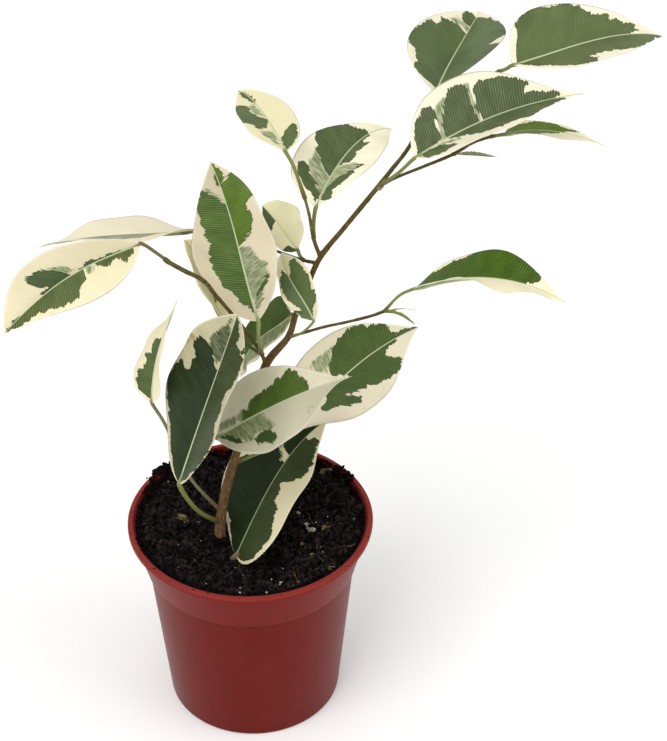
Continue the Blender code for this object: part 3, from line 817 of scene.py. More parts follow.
@dataclass(frozen=True)
class BarkFinish:
    """Colours of the stem from the old foot to the green buds."""

    ages: tuple[tuple[float, str], ...] = (
        (0.0, "#7A5C44"),
        (0.25, "#69512F"),
        (0.5, "#5C4922"),
        (0.72, "#50481E"),
        (0.88, "#605C28"),
        (1.0, "#898C4A"),
    )
    ring: str = "#A08C6A"
    crack_cells: Point3 = (0.5, 3.2, 3.2)  # in a millimetre, along the stem and across it
    ring_cells: Point3 = (3.0, 0.5, 0.5)
    specular: float = 0.12

    def material(self) -> bpy.types.Material:
        """Make the bark's material.

        Young fig bark, thin and papery over green wood. To the eye that is a dull tan at the foot with
        fine cracks along the stem, smoother and olive brown higher up, and green at the buds.

        Returns:
            The material.
        """
        material, node, shader = start_material("fig_bark_thin_and_papery")
        where = node("ShaderNodeAttribute", attribute_name="bark_place").outputs["Vector"]
        age = node("ShaderNodeAttribute", attribute_name="bark_age").outputs["Fac"]
        patterns = []
        for cells, detail in ((self.crack_cells, 4.0), (self.ring_cells, 3.0)):
            vector = node("ShaderNodeVectorMath", {0: where, 1: cells}, operation="MULTIPLY").outputs[0]
            pattern = {"Vector": vector, "Scale": 1.0, "Detail": detail}
            patterns.append(node("ShaderNodeTexNoise", pattern).outputs[0])
        crack, ring = patterns
        ramp = node("ShaderNodeValToRGB", {0: age})
        stops = ramp.color_ramp.elements
        while len(stops) < len(self.ages):
            stops.new(0.5)
        for stop, (position, colour) in zip(stops, self.ages):
            stop.position = position
            stop.color = linear(colour)
        spans = ((crack, 0.3, 0.7, 0.4, 1.35), (ring, 0.55, 0.72, 0.0, 0.25), (age, 0.0, 1.0, 0.85, 0.5))
        shade, band, gloss = (node("ShaderNodeMapRange", dict(enumerate(span))).outputs[0] for span in spans)
        colour = {0: ramp.outputs[0], "Scale": shade}
        colour = node("ShaderNodeVectorMath", colour, operation="SCALE").outputs[0]
        colour = {FACTOR: band, LOWER: colour, UPPER: linear(self.ring)}
        colour = node("ShaderNodeMix", colour, data_type="RGBA").outputs[MIXED]
        relief = node("ShaderNodeMath", {0: crack, 1: ring}, operation="ADD").outputs[0]
        bump = node("ShaderNodeBump", {"Strength": 0.9, "Distance": 0.1 * MM, "Height": relief}).outputs[0]
        looks = {"Base Color": colour, "Roughness": gloss, "Specular IOR Level": self.specular}
        fill(shader, {**looks, "Normal": bump})
        return material


@dataclass
class Pot:
    """The pot: a thin tapered cup with a flared band, a rounded lip and drain holes."""

    # Its wall as (radius, height, corner radius), from the inner floor's middle, over the lip, to the base
    profile: tuple[Point3, ...] = (
        (0, 1.6, 0),
        (21.4, 1.6, 0.9),
        (22.3, 3.0, 0.8),
        (26.2, 43.5, 0.5),
        (26.8, 44.8, 0.5),
        (29.4, 54.4, 1.2),
        (30.4, 57.55, 0.9),
        (32.2, 57.45, 0.6),
        (32.15, 55.9, 0.4),
        (30.95, 55.75, 0.35),
        (27.95, 44.2, 0.25),
        (27.35, 44.0, 0.2),
        (23.15, 0.0, 0.8),
        (0, 0, 0),
    )
    steps: int = 192
    corner_points: int = 6
    hole_radius: float = 2.5
    hole_circle: float = 13
    hole_count: int = 4
    hole_sides: int = 40
    hole_depth: float = 6  # the cutter's whole height, half of it above the base
    seam: float = 0.005  # within which the turned wall's ends join
    weld: float = 0.002  # within which points join where the holes are cut
    sharp: float = 40  # degrees between two faces that leave an edge sharp

    def rounded_profile(self) -> list[Point2]:
        """Round the profile's corners with short arcs."""
        rows: list[Point2] = []
        for i, (x, z, radius) in enumerate(self.profile):
            corner = np.array((x, z), float)
            if radius == 0:
                rows.append((x, z))
                continue
            before = unit(np.array(self.profile[i - 1][:2], float) - corner)
            after = unit(np.array(self.profile[i + 1][:2], float) - corner)
            for t in np.linspace(0, 1, self.corner_points):
                point = corner + radius * ((1 - t) ** 2 * before + t**2 * after)
                rows.append((float(point[0]), float(point[1])))
        return rows

    def build(self) -> bpy.types.Object:
        """Turn the profile with a Screw modifier and cut the drain holes."""
        rows = self.rounded_profile()
        mesh = bpy.data.meshes.new("pot_turned")
        edges = [(i, i + 1) for i in range(len(rows) - 1)]
        mesh.from_pydata([(x * MM, 0, z * MM) for x, z in rows], edges, [])
        item = mesh_object("pot_moulded", mesh)
        screw = item.modifiers.new("turn", "SCREW")
        screw.angle = math.tau
        screw.steps = screw.render_steps = self.steps
        screw.use_merge_vertices = True
        screw.merge_threshold = self.seam * MM
        cutters = []
        wide = self.hole_radius * MM
        cone = {"segments": self.hole_sides, "radius1": wide, "radius2": wide, "depth": self.hole_depth * MM}
        for i in range(self.hole_count):
            angle = math.tau * (i + 0.5) / self.hole_count
            shape = bmesh.new()
            bmesh.ops.create_cone(shape, cap_ends=True, **cone)
            centre = (self.hole_circle * MM * math.cos(angle), self.hole_circle * MM * math.sin(angle), 0)
            bmesh.ops.translate(shape, verts=shape.verts, vec=centre)
            cutters.append(mesh_object(f"drain_{i}", finished(shape, f"drain_{i}")))
            cut = item.modifiers.new("drain", "BOOLEAN")
            cut.object = cutters[-1]
            cut.solver = "EXACT"
        item = baked(item)
        for cutter in cutters:
            bpy.data.objects.remove(cutter, do_unlink=True)
        shape = bmesh.new()
        shape.from_mesh(item.data)
        bmesh.ops.remove_doubles(shape, verts=shape.verts, dist=self.weld * MM)
        bmesh.ops.recalc_face_normals(shape, faces=shape.faces)
        shape.to_mesh(item.data)
        shape.free()
        item.data.shade_smooth()
        item.data.set_sharp_from_angle(angle=math.radians(self.sharp))
        return item

    def dress(self, item: bpy.types.Object) -> None:
        """Give the pot its finish and its place in the model."""
        item.data.materials.clear()
        item.data.materials.append(PlasticFinish().material())
        register(item, "pot_plastic", "pot")


@dataclass
class Soil:
    """The potting mix: an uneven top that sinks to the pot's inner wall."""

    level: float = 53.0
    radius: float = 29.7
    rings: int = 110
    sides: int = 260
    heap: Point3 = (9, 15, 0.9)  # the middle of a low heap, and its height
    heap_spread: float = 90  # square millimetres over which the heap falls off
    bank: Point3 = (17, 12, 3.0)  # radius from which the soil rises to the wall, over what width, and how far
    carrier_step: float = 1.5  # between the points of the surface that carries the grains
    carrier_gap: float = 0.4  # between that surface and the wall
    spill_step: float = 3  # degrees
    wall: tuple[Point2, ...] = ((29.3, 54.8), (26.2, 44.4), (25.8, 43.3), (21.9, 2.7), (21.1, 1.9))
    # Where crumbs lie against the wall and on the lip: first and last degree, inner and outer radius, height
    spills: tuple[tuple[float, float, float, float, float], ...] = (
        (0, 360, 29.0, 30.2, 56.7),
        (131, 152, 30.2, 32.3, 57.7),
        (150, 162, 29.6, 31.0, 57.4),
        (29, 43, 30.2, 31.9, 57.7),
        (46, 66, 30.0, 30.7, 57.5),
        (196, 212, 30.0, 30.5, 57.3),
    )

    def height(self, x: float, y: float) -> float:
        """Give the height of the soil's uneven surface."""
        swells = 0.34 * math.sin(0.31 * x + 1.1) * math.cos(0.27 * y - 0.4)
        crumbs = 0.18 * math.sin(0.83 * x - 0.5 * y + 0.7) + 0.13 * math.cos(0.9 * y + 0.45 * x)
        heap_x, heap_y, top = self.heap
        heap = top * math.exp(-((x - heap_x) ** 2 + (y - heap_y) ** 2) / self.heap_spread)
        where = Vector((x, y, 0))
        clods = 0.9 * noise.noise(where * 0.42) + 0.9 * abs(noise.noise(where * 0.8))
        fine = 0.25 * noise.noise(where * 2.6)
        start, width, rise = self.bank
        bank = rise * np.clip((math.hypot(x, y) - start) / width, 0, 1) ** 1.5
        return float(self.level + swells + crumbs + heap + clods + fine + bank)

    def build(self) -> bpy.types.Object:
        """Build the soil's closed mesh from rings of points."""
        shape = bmesh.new()
        middle = shape.verts.new((0, 0, self.height(0, 0) * MM))
        loops = []
        radii = [self.radius * (i + 1) / self.rings for i in range(self.rings)]
        for radius, depth in [(r, None) for r in radii] + list(self.wall):
            loop = []
            for k in range(self.sides):
                angle = math.tau * k / self.sides
                x, y = radius * math.cos(angle), radius * math.sin(angle)
                z = self.height(x, y) if depth is None else depth
                loop.append(shape.verts.new((x * MM, y * MM, z * MM)))
            loops.append(loop)
        for k in range(self.sides):
            shape.faces.new((middle, loops[0][k], loops[0][(k + 1) % self.sides]))
        for inner, outer in zip(loops, loops[1:]):
            for k in range(self.sides):
                j = (k + 1) % self.sides
                shape.faces.new((inner[k], outer[k], outer[j], inner[j]))
        shape.faces.new(loops[-1])
        for face in shape.faces:
            face.smooth = True
        return mesh_object("soil_bed", finished(shape, "soil_bed"))

    def top(self) -> bpy.types.Object:
        """Build a coarse copy of the top alone, which carries the loose grains."""
        shape = bmesh.new()
        step = self.carrier_step
        count = int(self.radius / step)
        rows = {}
        for i in range(-count, count + 1):
            for j in range(-count, count + 1):
                x, y = i * step, j * step
                if math.hypot(x, y) < self.radius - self.carrier_gap:
                    rows[i, j] = shape.verts.new((x * MM, y * MM, self.height(x, y) * MM))
        for i, j in list(rows):
            corners = [rows.get(key) for key in ((i, j), (i + 1, j), (i + 1, j + 1), (i, j + 1))]
            if all(corners):
                shape.faces.new(corners)
        return mesh_object("soil_top", finished(shape, "soil_top"))

    def edge(self) -> bpy.types.Object:
        """Build the strips along the wall and over the lip, which carry the spilt crumbs."""
        shape = bmesh.new()
        for first, last, inner, outer, height in self.spills:
            steps = math.ceil((last - first) / self.spill_step)
            turns = [math.radians(first + (last - first) * i / steps) for i in range(steps + 1)]
            low, high = (
                [shape.verts.new((r * math.cos(a) * MM, r * math.sin(a) * MM, height * MM)) for a in turns]
                for r in (inner, outer)
            )
            for i in range(steps):
                shape.faces.new((low[i], high[i], high[i + 1], low[i + 1]))
        return mesh_object("soil_edge", finished(shape, "soil_edge"))

    def dress(self, item: bpy.types.Object) -> None:
        """Give the soil its finish and its place in the model."""
        item.data.materials.append(PEAT.material())
        register(item, "potting_soil", "soil")


class GrainShape(Enum):
    """What a loose grain starts from."""

    CRUMB = "a lump"
    FIBRE = "a thread"


@dataclass
class Scatter:
    """Loose grains of one kind, strewn by Geometry Nodes, with sizes in millimetres."""

    name: str
    finish: GritFinish
    shape: GrainShape
    density: float  # grains in a square millimetre
    smallest: float
    largest: float
    rough: float  # how far a grain's corners wander
    seed: int
    lift: float = 0.0
    crumb_radius: float = 0.55  # share of a crumb's size
    fibre_radius: float = 0.085
    fibre_tilt: float = 0.25  # radians by which a fibre leaves the ground's slope

    def tree(self) -> bpy.types.NodeTree:
        """Build the node tree that strews the grains.

        Returns:
            The tree, with named inputs for its sizes.
        """
        tree = bpy.data.node_groups.new("strew_" + self.name, "GeometryNodeTree")
        for label, kind in STREW_INPUTS.items():
            tree.interface.new_socket(label, in_out="INPUT", socket_type="NodeSocket" + kind)
        tree.interface.new_socket("Geometry", in_out="OUTPUT", socket_type="NodeSocketGeometry")
        node = partial(add_node, tree)
        given = node("NodeGroupInput").outputs
        seed = given["Seed"]
        spread = {"Mesh": given["Geometry"], "Density": given["Density"], "Seed": seed}
        points = node("GeometryNodeDistributePointsOnFaces", spread).outputs["Points"]
        if self.shape is GrainShape.CRUMB:
            lump = node("GeometryNodeMeshCube", {0: (1, 1, 1), 1: 3, 2: 3, 3: 3}).outputs[0]
            where = node("GeometryNodeInputPosition").outputs[0]
            where = node("ShaderNodeVectorMath", {0: where}, operation="NORMALIZE").outputs[0]
            where = {0: where, "Scale": self.crumb_radius}
            where = node("ShaderNodeVectorMath", where, operation="SCALE").outputs[0]
            grain = node("GeometryNodeSetPosition", {"Geometry": lump, "Position": where}).outputs[0]
            turns = ((0.0, 0.0, 0.0), (math.tau, math.tau, math.tau))
            forms = ((0.6, 0.5, 0.35), (1.1, 1.0, 0.8))
        else:
            ends = {"Start": (-0.5, 0, 0), "End": (0.5, 0, 0)}
            grain = node("GeometryNodeCurvePrimitiveLine", ends).outputs[0]
            grain = node("GeometryNodeResampleCurve", {"Curve": grain, "Count": 7}).outputs[0]
            tilt = self.fibre_tilt
            turns = ((-tilt, -tilt, 0.0), (tilt, tilt, math.tau))
            forms = ((0.6, 1.0, 1.0), (1.0, 1.0, 1.0))
        drawn = []
        for low, high in (turns, forms):
            limits = {0: low, 1: high, "Seed": seed}
            drawn.append(node("FunctionNodeRandomValue", limits, data_type="FLOAT_VECTOR").outputs[0])
        turn, form = drawn
        size = {2: given["Smallest"], 3: given["Largest"], "Seed": seed}
        size = node("FunctionNodeRandomValue", size, data_type="FLOAT").outputs[1]
        size, reach, rise = (
            node("ShaderNodeMath", {0: value, 1: MM}, operation="MULTIPLY").outputs[0]
            for value in (size, given["Rough"], given["Lift"])
        )
        form = node("ShaderNodeVectorMath", {0: form, "Scale": size}, operation="SCALE").outputs[0]
        placed = {"Points": points, "Instance": grain, "Rotation": turn, "Scale": form}
        grains = node("GeometryNodeInstanceOnPoints", placed).outputs[0]
        grains = node("GeometryNodeRealizeInstances", {0: grains}).outputs[0]
        where = node("GeometryNodeInputPosition").outputs[0]
        wander = {"Vector": where, "Scale": 1 / (0.8 * self.largest * MM), "Detail": 1.0}
        wander = node("ShaderNodeTexNoise", wander).outputs["Color"]
        rise = node("ShaderNodeCombineXYZ", {2: rise}).outputs[0]
        steps = (("SUBTRACT", 1, (0.5, 0.5, 0.5)), ("SCALE", "Scale", reach), ("ADD", 1, rise))
        for operation, key, value in steps:
            wander = node("ShaderNodeVectorMath", {0: wander, key: value}, operation=operation).outputs[0]
        grains = node("GeometryNodeSetPosition", {"Geometry": grains, "Offset": wander}).outputs[0]
        if self.shape is GrainShape.FIBRE:
            ring = {"Resolution": 5, "Radius": self.fibre_radius * MM}
            ring = node("GeometryNodeCurvePrimitiveCircle", ring).outputs[0]
            sweep = {"Curve": grains, "Profile Curve": ring, "Fill Caps": True}
            grains = node("GeometryNodeCurveToMesh", sweep).outputs[0]
        grains = node("GeometryNodeSetMaterial", {0: grains, "Material": given["Material"]}).outputs[0]
        node("NodeGroupOutput", {0: grains})
        return tree

    def build(self, carrier: bpy.types.Object) -> bpy.types.Object:
        """Strew the grains over a surface.

        Args:
            carrier: the surface, which stays as it is.

        Returns:
            The grains as one plain mesh object.
        """
        item = mesh_object(self.name, carrier.data.copy())
        modifier = item.modifiers.new("strew", "NODES")
        modifier.node_group = self.tree()
        values = {
            "Density": self.density / MM**2,
            "Smallest": self.smallest,
            "Largest": self.largest,
            "Rough": self.rough,
            "Lift": self.lift,
            "Seed": self.seed,
            "Material": self.finish.material(),
        }
        for socket in modifier.node_group.interface.items_tree:
            if socket.name in values:
                modifier[socket.identifier] = values[socket.name]
        return baked(item)

    def dress(self, item: bpy.types.Object) -> None:
        """Give the grains their place in the model."""
        register(item, "potting_soil")


@dataclass
class Loose:
    """Larger loose things in the potting mix, each in its own place."""

    name: str
    finish: GritFinish

    def dress(self, item: bpy.types.Object) -> None:
        """Give the things their finish and their place in the model."""
        item.data.materials.append(self.finish.material())
        register(item, "potting_soil")


@dataclass
class Lumps(Loose):
    """Broken lumps, half sunk in the soil."""

    places: tuple[Point3, ...]  # (x, y, width)

    def build(self, soil: Soil) -> bpy.types.Object:
        """Build the lumps from bulging balls."""
        shape = bmesh.new()
        for x, y, width in self.places:
            centre = Vector((x, y, soil.height(x, y) + 0.25 * width))
            for vertex in bmesh.ops.create_icosphere(shape, subdivisions=3, radius=0.5)["verts"]:
                way = vertex.co.copy()
                bulge = 1 + 0.9 * noise.noise(way * 3.2 + centre) + 0.3 * noise.noise(way * 8 + centre)
                vertex.co = (centre + Vector((way.x, 0.75 * way.y, 0.6 * way.z)) * (width * bulge)) * MM
        return mesh_object(self.name, finished(shape, self.name))


@dataclass
class Roots(Loose):
    """Fine dead roots that lie on the soil."""

    paths: tuple[tuple[Point3, ...], ...]  # (x, y, height above the soil) rows
    radius: float = 0.13

    def build(self, soil: Soil) -> bpy.types.Object:
        """Build the roots as thin tubes with tapered ends."""
        shape = bmesh.new()
        for path in self.paths:
            rows = smooth_path([(x, y, soil.height(x, y) + rise) for x, y, rise in path], 6)
            radii = self.radius * np.sin(math.pi * np.linspace(0.08, 0.92, len(rows))) ** 0.4
            add_tube(shape, tube_rings(rows, radii, 6))
        return mesh_object(self.name, finished(shape, self.name))


@dataclass(frozen=True)
class Shoot:
    """The trunk, a twig or a bud, as (x, y, z, radius) rows and its bark's age at both ends."""

    ages: Point2  # 0 is old bark and 1 is green
    rows: tuple[tuple[float, float, float, float], ...]


@dataclass
class Stem:
    """The trunk with every twig and bud, grown together into one skin."""

    shoots: tuple[Shoot, ...]
    voxel: float = 0.19
    sides: int = 16
    steps: int = 10
    cushion_radius: float = 0.72
    cushion_sides: int = 12
    cushion: tuple[float, ...] = (0.9, 1.0, 1.0, 0.92, 0.78)  # shares of its radius, from the stem outwards
    foot_reach: float = 2.5  # within which a leaf's foot looks for the radius of its shoot
    cushion_length: float = 1.0  # out of the stem
    crack_depth: float = 0.16  # of the oldest bark
    ring_depth: float = 0.05  # of all bark
    old_ring_depth: float = 0.1  # how much more it is on the oldest
    apart: float = 40  # keeps the bark's pattern on one shoot from running on over the next

    def cores(self) -> list[tuple[Shoot, np.ndarray]]:
        """Give each shoot with its finely spaced (x, y, z, radius) rows."""
        return [(shoot, smooth_path(shoot.rows, self.steps)) for shoot in self.shoots]

    def build(self, leaves: tuple[Leaf, ...]) -> bpy.types.Object:
        """Join round shoots and leaf cushions into one skin with a voxel remesh.

        Args:
            leaves: the leaves, whose stalks each grow out of a cushion.

        Returns:
            The stem, with its place along the shoots kept in attributes.
        """
        shape = bmesh.new()
        for _, rows in self.cores():
            add_tube(shape, tube_rings(rows[:, :3], rows[:, 3], self.sides))
        for leaf in leaves:
            path = leaf.stalk_path()
            reach = np.concatenate([[0], np.cumsum(np.linalg.norm(np.diff(path, axis=0), axis=1))])
            rows = np.vstack([rows for _, rows in self.cores()])
            own = rows[np.linalg.norm(rows[:, :3] - path[0], axis=1) < self.foot_reach, 3].min()
            places = np.linspace(0, own + self.cushion_length, len(self.cushion))
            ring = np.array([[np.interp(p, reach, path[:, axis]) for axis in range(3)] for p in places])
            wide = min(self.cushion_radius, own + 0.1)
            add_tube(shape, tube_rings(ring, wide * np.array(self.cushion), self.cushion_sides))
        item = mesh_object("stem_bark", finished(shape, "stem_bark"))
        skin = item.modifiers.new("skin", "REMESH")
        skin.mode = "VOXEL"
        skin.voxel_size = self.voxel * MM
        smooth = item.modifiers.new("smooth", "SMOOTH")
        smooth.iterations = 3
        item = baked(item)
        self.age_bark(item)
        item.data.shade_smooth()
        return item

    def age_bark(self, item: bpy.types.Object) -> None:
        """Mark each point with its place along its shoot, and roughen the old bark.

        Args:
            item: the stem's skin.
        """
        samples = []
        for number, (shoot, rows) in enumerate(self.cores()):
            lengths = np.concatenate([[0], np.cumsum(np.linalg.norm(np.diff(rows[:, :3], axis=0), axis=1))])
            share = lengths / lengths[-1]
            ages = shoot.ages[0] + (shoot.ages[1] - shoot.ages[0]) * share
            lengths = lengths + self.apart * number
            samples += zip(rows, lengths, ages)
        tree = kdtree.KDTree(len(samples))
        for i, (row, _, _) in enumerate(samples):
            tree.insert(row[:3], i)
        tree.balance()
        places, ages = [], []
        item.data.calc_loop_triangles()
        for vertex in item.data.vertices:
            point = vertex.co / MM
            _, i, _ = tree.find(point)
            row, length, age = samples[i]
            offset = point - Vector(row[:3])
            outward = offset.normalized() if offset.length > 0.01 else vertex.normal.copy()
            old = max(0.0, 1 - 1.6 * age)
            where = Vector((length * 0.5, offset.x * 3, offset.y * 3))
            crack = noise.noise(where) * self.crack_depth * old
            depth = self.ring_depth + self.old_ring_depth * old
            ring = noise.noise(Vector((length * 0.9, 0.3, 7.0))) * depth
            vertex.co += outward * (crack + ring) * MM
            places += (length, offset.x, offset.y)
            ages.append(age)
        item.data.attributes.new("bark_place", "FLOAT_VECTOR", "POINT").data.foreach_set("vector", places)
        item.data.attributes.new("bark_age", "FLOAT", "POINT").data.foreach_set("value", ages)

    def dress(self, item: bpy.types.Object) -> None:
        """Give the stem its finish and its place in the model."""
        item.data.materials.append(BarkFinish().material())
        register(item, "fig_bark", "stem")


@dataclass
class Studio:
    """The floor, the lights and the camera."""

    target: Point3 = (21.8, 0.0, 104.9)
    distance: float = 497.0
    elevation: float = 36.2
    focal_pixels: float = 2000.0
    image_height: float = 741.0
    sensor: float = 36.0
    floor_reach: float = 3.0  # metres

    def camera(self) -> None:
        """Stand the camera where the photograph was taken from."""
        lens = bpy.data.cameras.new("camera")
        lens.sensor_width = self.sensor
        lens.lens = self.sensor * self.focal_pixels / self.image_height
        item = bpy.data.objects.new("camera", lens)
        bpy.context.scene.collection.objects.link(item)
        tilt = math.radians(self.elevation)
        back = Vector((0, -math.cos(tilt), math.sin(tilt)))
        item.location = (Vector(self.target) + back * self.distance) * MM
        item.rotation_euler = Euler((math.pi / 2 - tilt, 0, 0))
        bpy.context.scene.camera = item

    def floor(self) -> None:
        """Lay a plain pale floor."""
        mesh = bpy.data.meshes.new("floor")
        reach = self.floor_reach
        corners = [(-reach, -reach, 0), (reach, -reach, 0), (reach, reach, 0), (-reach, reach, 0)]
        mesh.from_pydata(corners, [], [(0, 1, 2, 3)])
        item = mesh_object("floor", mesh)
        material, _, shader = start_material("pale_floor")
        fill(shader, {"Base Color": linear("#FAFAFA"), "Roughness": 0.9})
        mesh.materials.append(material)

    def light(self, name: str, place: Point3, size: float, power: float, colour: str) -> None:
        """Hang one soft square light that faces the plant.

        Args:
            name: the light's name.
            place: where it hangs, in metres.
            size: its width, in metres.
            power: its power, in watts.
            colour: its colour.
        """
        lamp = bpy.data.lights.new(name, "AREA")
        lamp.size = size
        lamp.energy = power
        lamp.color = linear(colour)[:3]
        item = bpy.data.objects.new(name, lamp)
        item.location = place
        item.rotation_euler = (Vector(self.target) * MM - Vector(place)).to_track_quat("-Z", "Y").to_euler()
        bpy.context.scene.collection.objects.link(item)

    def set_up(self) -> None:
        """Set up the camera, the floor, the lights and the pale room."""
        self.camera()
        self.floor()
        self.light("key", (-0.6, -0.8, 1.4), 1.1, 14.0, "#FFFDF8")
        self.light("fill", (1.2, -0.4, 1.0), 1.0, 5.5, "#FBFCFF")
        world = bpy.data.worlds.new("pale_room")
        world.use_nodes = True
        fill(world.node_tree.nodes["Background"], {"Color": linear("#FBFBFA"), "Strength": 0.8})
        bpy.context.scene.world = world
        bpy.context.scene.view_settings.view_transform = "Standard"


# The potting mix: its finishes, the grains strewn at random, and the lumps and roots in their own places
PEAT = GritFinish("potting_peat_damp", "#040303", "#1B1513", grain=0.9, roughness=0.8, specular=0.04)
BARK_CRUMB = GritFinish(
    "composted_bark_crumbs", "#050404", "#33292A", grain=1.1, roughness=0.7, specular=0.05
)
PERLITE = GritFinish("perlite_grit_expanded", "#8E877C", "#DAD4CA", grain=0.7, roughness=0.85)
CHIP = GritFinish("bark_chip_weathered", "#3A3020", "#8C8056", grain=0.9)
DARK_FIBRE = GritFinish("peat_fibre_dark", "#17110E", "#4A3B30", grain=1.5)
FIBRE = GritFinish("plant_fibre_dried", "#4A3826", "#8E7656", grain=1.5)
SCATTERS = (
    Scatter(
        "soil_crumbs", BARK_CRUMB, GrainShape.CRUMB,
        density=0.5, smallest=0.6, largest=3.4, rough=1.3, seed=3,
    ),
    Scatter(
        "soil_fines", PEAT, GrainShape.CRUMB,
        density=1.0, smallest=0.35, largest=0.9, rough=0.3, seed=5,
    ),
    Scatter(
        "perlite_grains", PERLITE, GrainShape.CRUMB,
        density=0.035, smallest=0.15, largest=0.5, rough=0.4, seed=11, lift=0.45,
    ),
    Scatter(
        "peat_fibres", DARK_FIBRE, GrainShape.FIBRE,
        density=0.3, smallest=1.5, largest=4.5, rough=1.6, seed=17, lift=0.3,
    ),
)
SPILL = Scatter(
    "spilt_crumbs", PEAT, GrainShape.CRUMB,
    density=2.2, smallest=0.4, largest=1.5, rough=0.5, seed=23,
)
PERLITE_PLACES = (
    (12.4, 5.7, 1.0), (14.5, 0.8, 1.4), (15.9, -1.2, 1.9), (11.4, -4.0, 1.1), (8.7, -23.6, 1.4),
    (5.0, -28.3, 0.7), (-1.8, -28.6, 0.7), (-3.6, -14.9, 0.5), (-10.3, -4.0, 0.7), (-14.0, 10.3, 0.5),
    (4.7, 28.0, 0.6),
)
CHIP_PLACES = (
    (-18.6, 3.1, 2.6), (-17.4, 2.6, 1.5), (19.8, -1.2, 2.2), (20.6, 0.6, 1.6), (19.0, 19.6, 1.7),
    (20.8, 19.8, 1.3), (20.9, -19.9, 1.1), (16.5, -11.5, 1.6), (13.6, -7.1, 1.0),
)
CLOD_PLACES = (
    (-21.7, 22.4, 2.6), (-22.9, 21.3, 3.4), (-24.0, 20.1, 3.0), (-25.2, 19.0, 3.2), (-25.9, 17.5, 2.0),
    (26.3, 15.8, 2.0), (25.2, 17.6, 2.6), (24.2, 19.2, 1.8), (27.0, 14.0, 1.4), (-9.9, -29.6, 1.5),
    (-8.6, -30.2, 1.2), (-9.7, -5.9, 3.4), (-6.9, -6.4, 3.2), (-10.6, -3.8, 2.4), (-6.0, -5.0, 2.0),
    (-8.8, -6.8, 1.8), (-16.5, -12.0, 3.6), (3.0, -21.5, 3.8), (16.0, -5.0, 3.2), (-20.0, 12.5, 3.6),
    (9.5, 14.0, 3.8), (-3.0, -25.0, 3.0), (-12.0, 1.5, 3.2), (22.0, 7.0, 3.4), (-22.5, -4.0, 3.2),
    (8.0, -14.5, 3.4), (-6.5, 16.5, 3.4), (0.5, -16.0, 2.8),
)
LUMPS = (
    Lumps("peat_clods", PEAT, CLOD_PLACES),
    Lumps("perlite_lumps", PERLITE, PERLITE_PLACES),
    Lumps("bark_chips", CHIP, CHIP_PLACES),
)
ROOT_PATHS = (
    ((13.9, 6.6, 0.2), (14.8, 5.3, 0.7), (15.6, 3.7, 0.5), (16.1, 1.7, 0.1)),
    ((18.3, -5.4, 0.1), (17.5, -8.2, 0.8), (18.0, -11.8, 0.4), (19.1, -15.5, 0.9), (18.6, -18.3, 0.2)),
    ((16.3, -17.5, 0.2), (18.3, -17.7, 0.6), (20.4, -19.0, 0.7), (22.3, -19.3, 0.3)),
    ((11.4, -15.6, 0.1), (11.7, -19.5, 0.6), (13.3, -24.1, 0.8), (15.6, -21.5, 0.2)),
    ((22.4, -9.1, 0.1), (24.3, -8.9, 0.6), (26.1, -10.6, 0.5), (27.6, -9.4, 0.3)),
)
ROOTS = Roots("dead_roots", FIBRE, ROOT_PATHS)

# The stem's shoots, which run into one another
SHOOTS = {
    "trunk": Shoot((0, 0.86), (
        (-8, -4, 41, 1.45), (-8, -4, 53.5, 1.45), (-6.6, -3, 65.5, 1.26), (-3.3, -2, 79, 1.1),
        (1, -1, 92.5, 1.08), (5, 0, 106.5, 1.08), (10.5, 2, 113.5, 0.85), (12.5, 5.5, 118, 0.75),
        (15, 7.5, 124, 0.7), (18.5, 8, 133, 0.7), (24.5, 8.5, 141.5, 0.62), (31, 9, 150.5, 0.62),
        (35.5, 10, 156.5, 0.55), (39.5, 12.5, 161, 0.5), (43, 16, 166.5, 0.47), (47, 17.5, 170.5, 0.44),
        (53, 20.5, 174, 0.42), (60.5, 21.5, 176.5, 0.4),
    )),
    "left_twig": Shoot((0.5, 0.8), (
        (5, 0, 106.5, 0.55), (4, -1.5, 111.5, 0.48), (2.5, -2.5, 115, 0.46), (0, -4.5, 121, 0.46),
        (-2.5, -6, 126, 0.48), (-6, -6.5, 131.5, 0.52), (-9, -6.5, 136, 0.56), (-13.5, -6, 138.5, 0.58),
        (-17, -5.5, 140.5, 0.58),
    )),
    "right_twig": Shoot((0.5, 0.72), (
        (10.5, 2, 113.5, 0.5), (13.5, 0, 116, 0.4), (19.5, -2, 119.5, 0.38), (24.5, -3, 121.5, 0.38),
        (30.5, -4, 124, 0.4), (34, -4, 125.5, 0.44),
    )),
    "back_twig": Shoot((0.6, 0.8), (
        (18, 8, 131.5, 0.5), (14.5, 10, 131, 0.45), (9.5, 13, 131, 0.4), (3.5, 15, 132.5, 0.4),
        (-2, 16, 134, 0.4),
    )),
    "top_twig": Shoot((0.7, 0.95), (
        (18.5, 8, 133.5, 0.55), (17, 8, 138.5, 0.5), (16, 7.5, 145.5, 0.4), (15, 7, 150.5, 0.4),
    )),
    "upper_twig": Shoot((0.72, 0.86), (
        (33, 9.5, 152.5, 0.5), (36.5, 9, 155, 0.4), (42.5, 9.5, 157.5, 0.4), (50, 10.5, 160.5, 0.45),
        (55, 16, 160.5, 0.4), (59.5, 19, 160.5, 0.4),
    )),
    "end_bud": Shoot((0.93, 1), (
        (34, -4, 125.5, 0.4), (36.5, -4.5, 125.5, 0.34), (38.5, -5, 125, 0.44), (41.5, -6, 123, 0.15),
    )),
    "bud_scale": Shoot((1, 1), (
        (34.5, -4, 125.5, 0.3), (38, -4.5, 126.6, 0.16), (42.5, -5.5, 126.8, 0.1),
    )),
    "side_bud": Shoot((0.96, 1), (
        (32.5, 9, 152, 0.7), (33.5, 8.5, 153.5, 0.6), (34, 8.5, 154.5, 0.25),
    )),
}

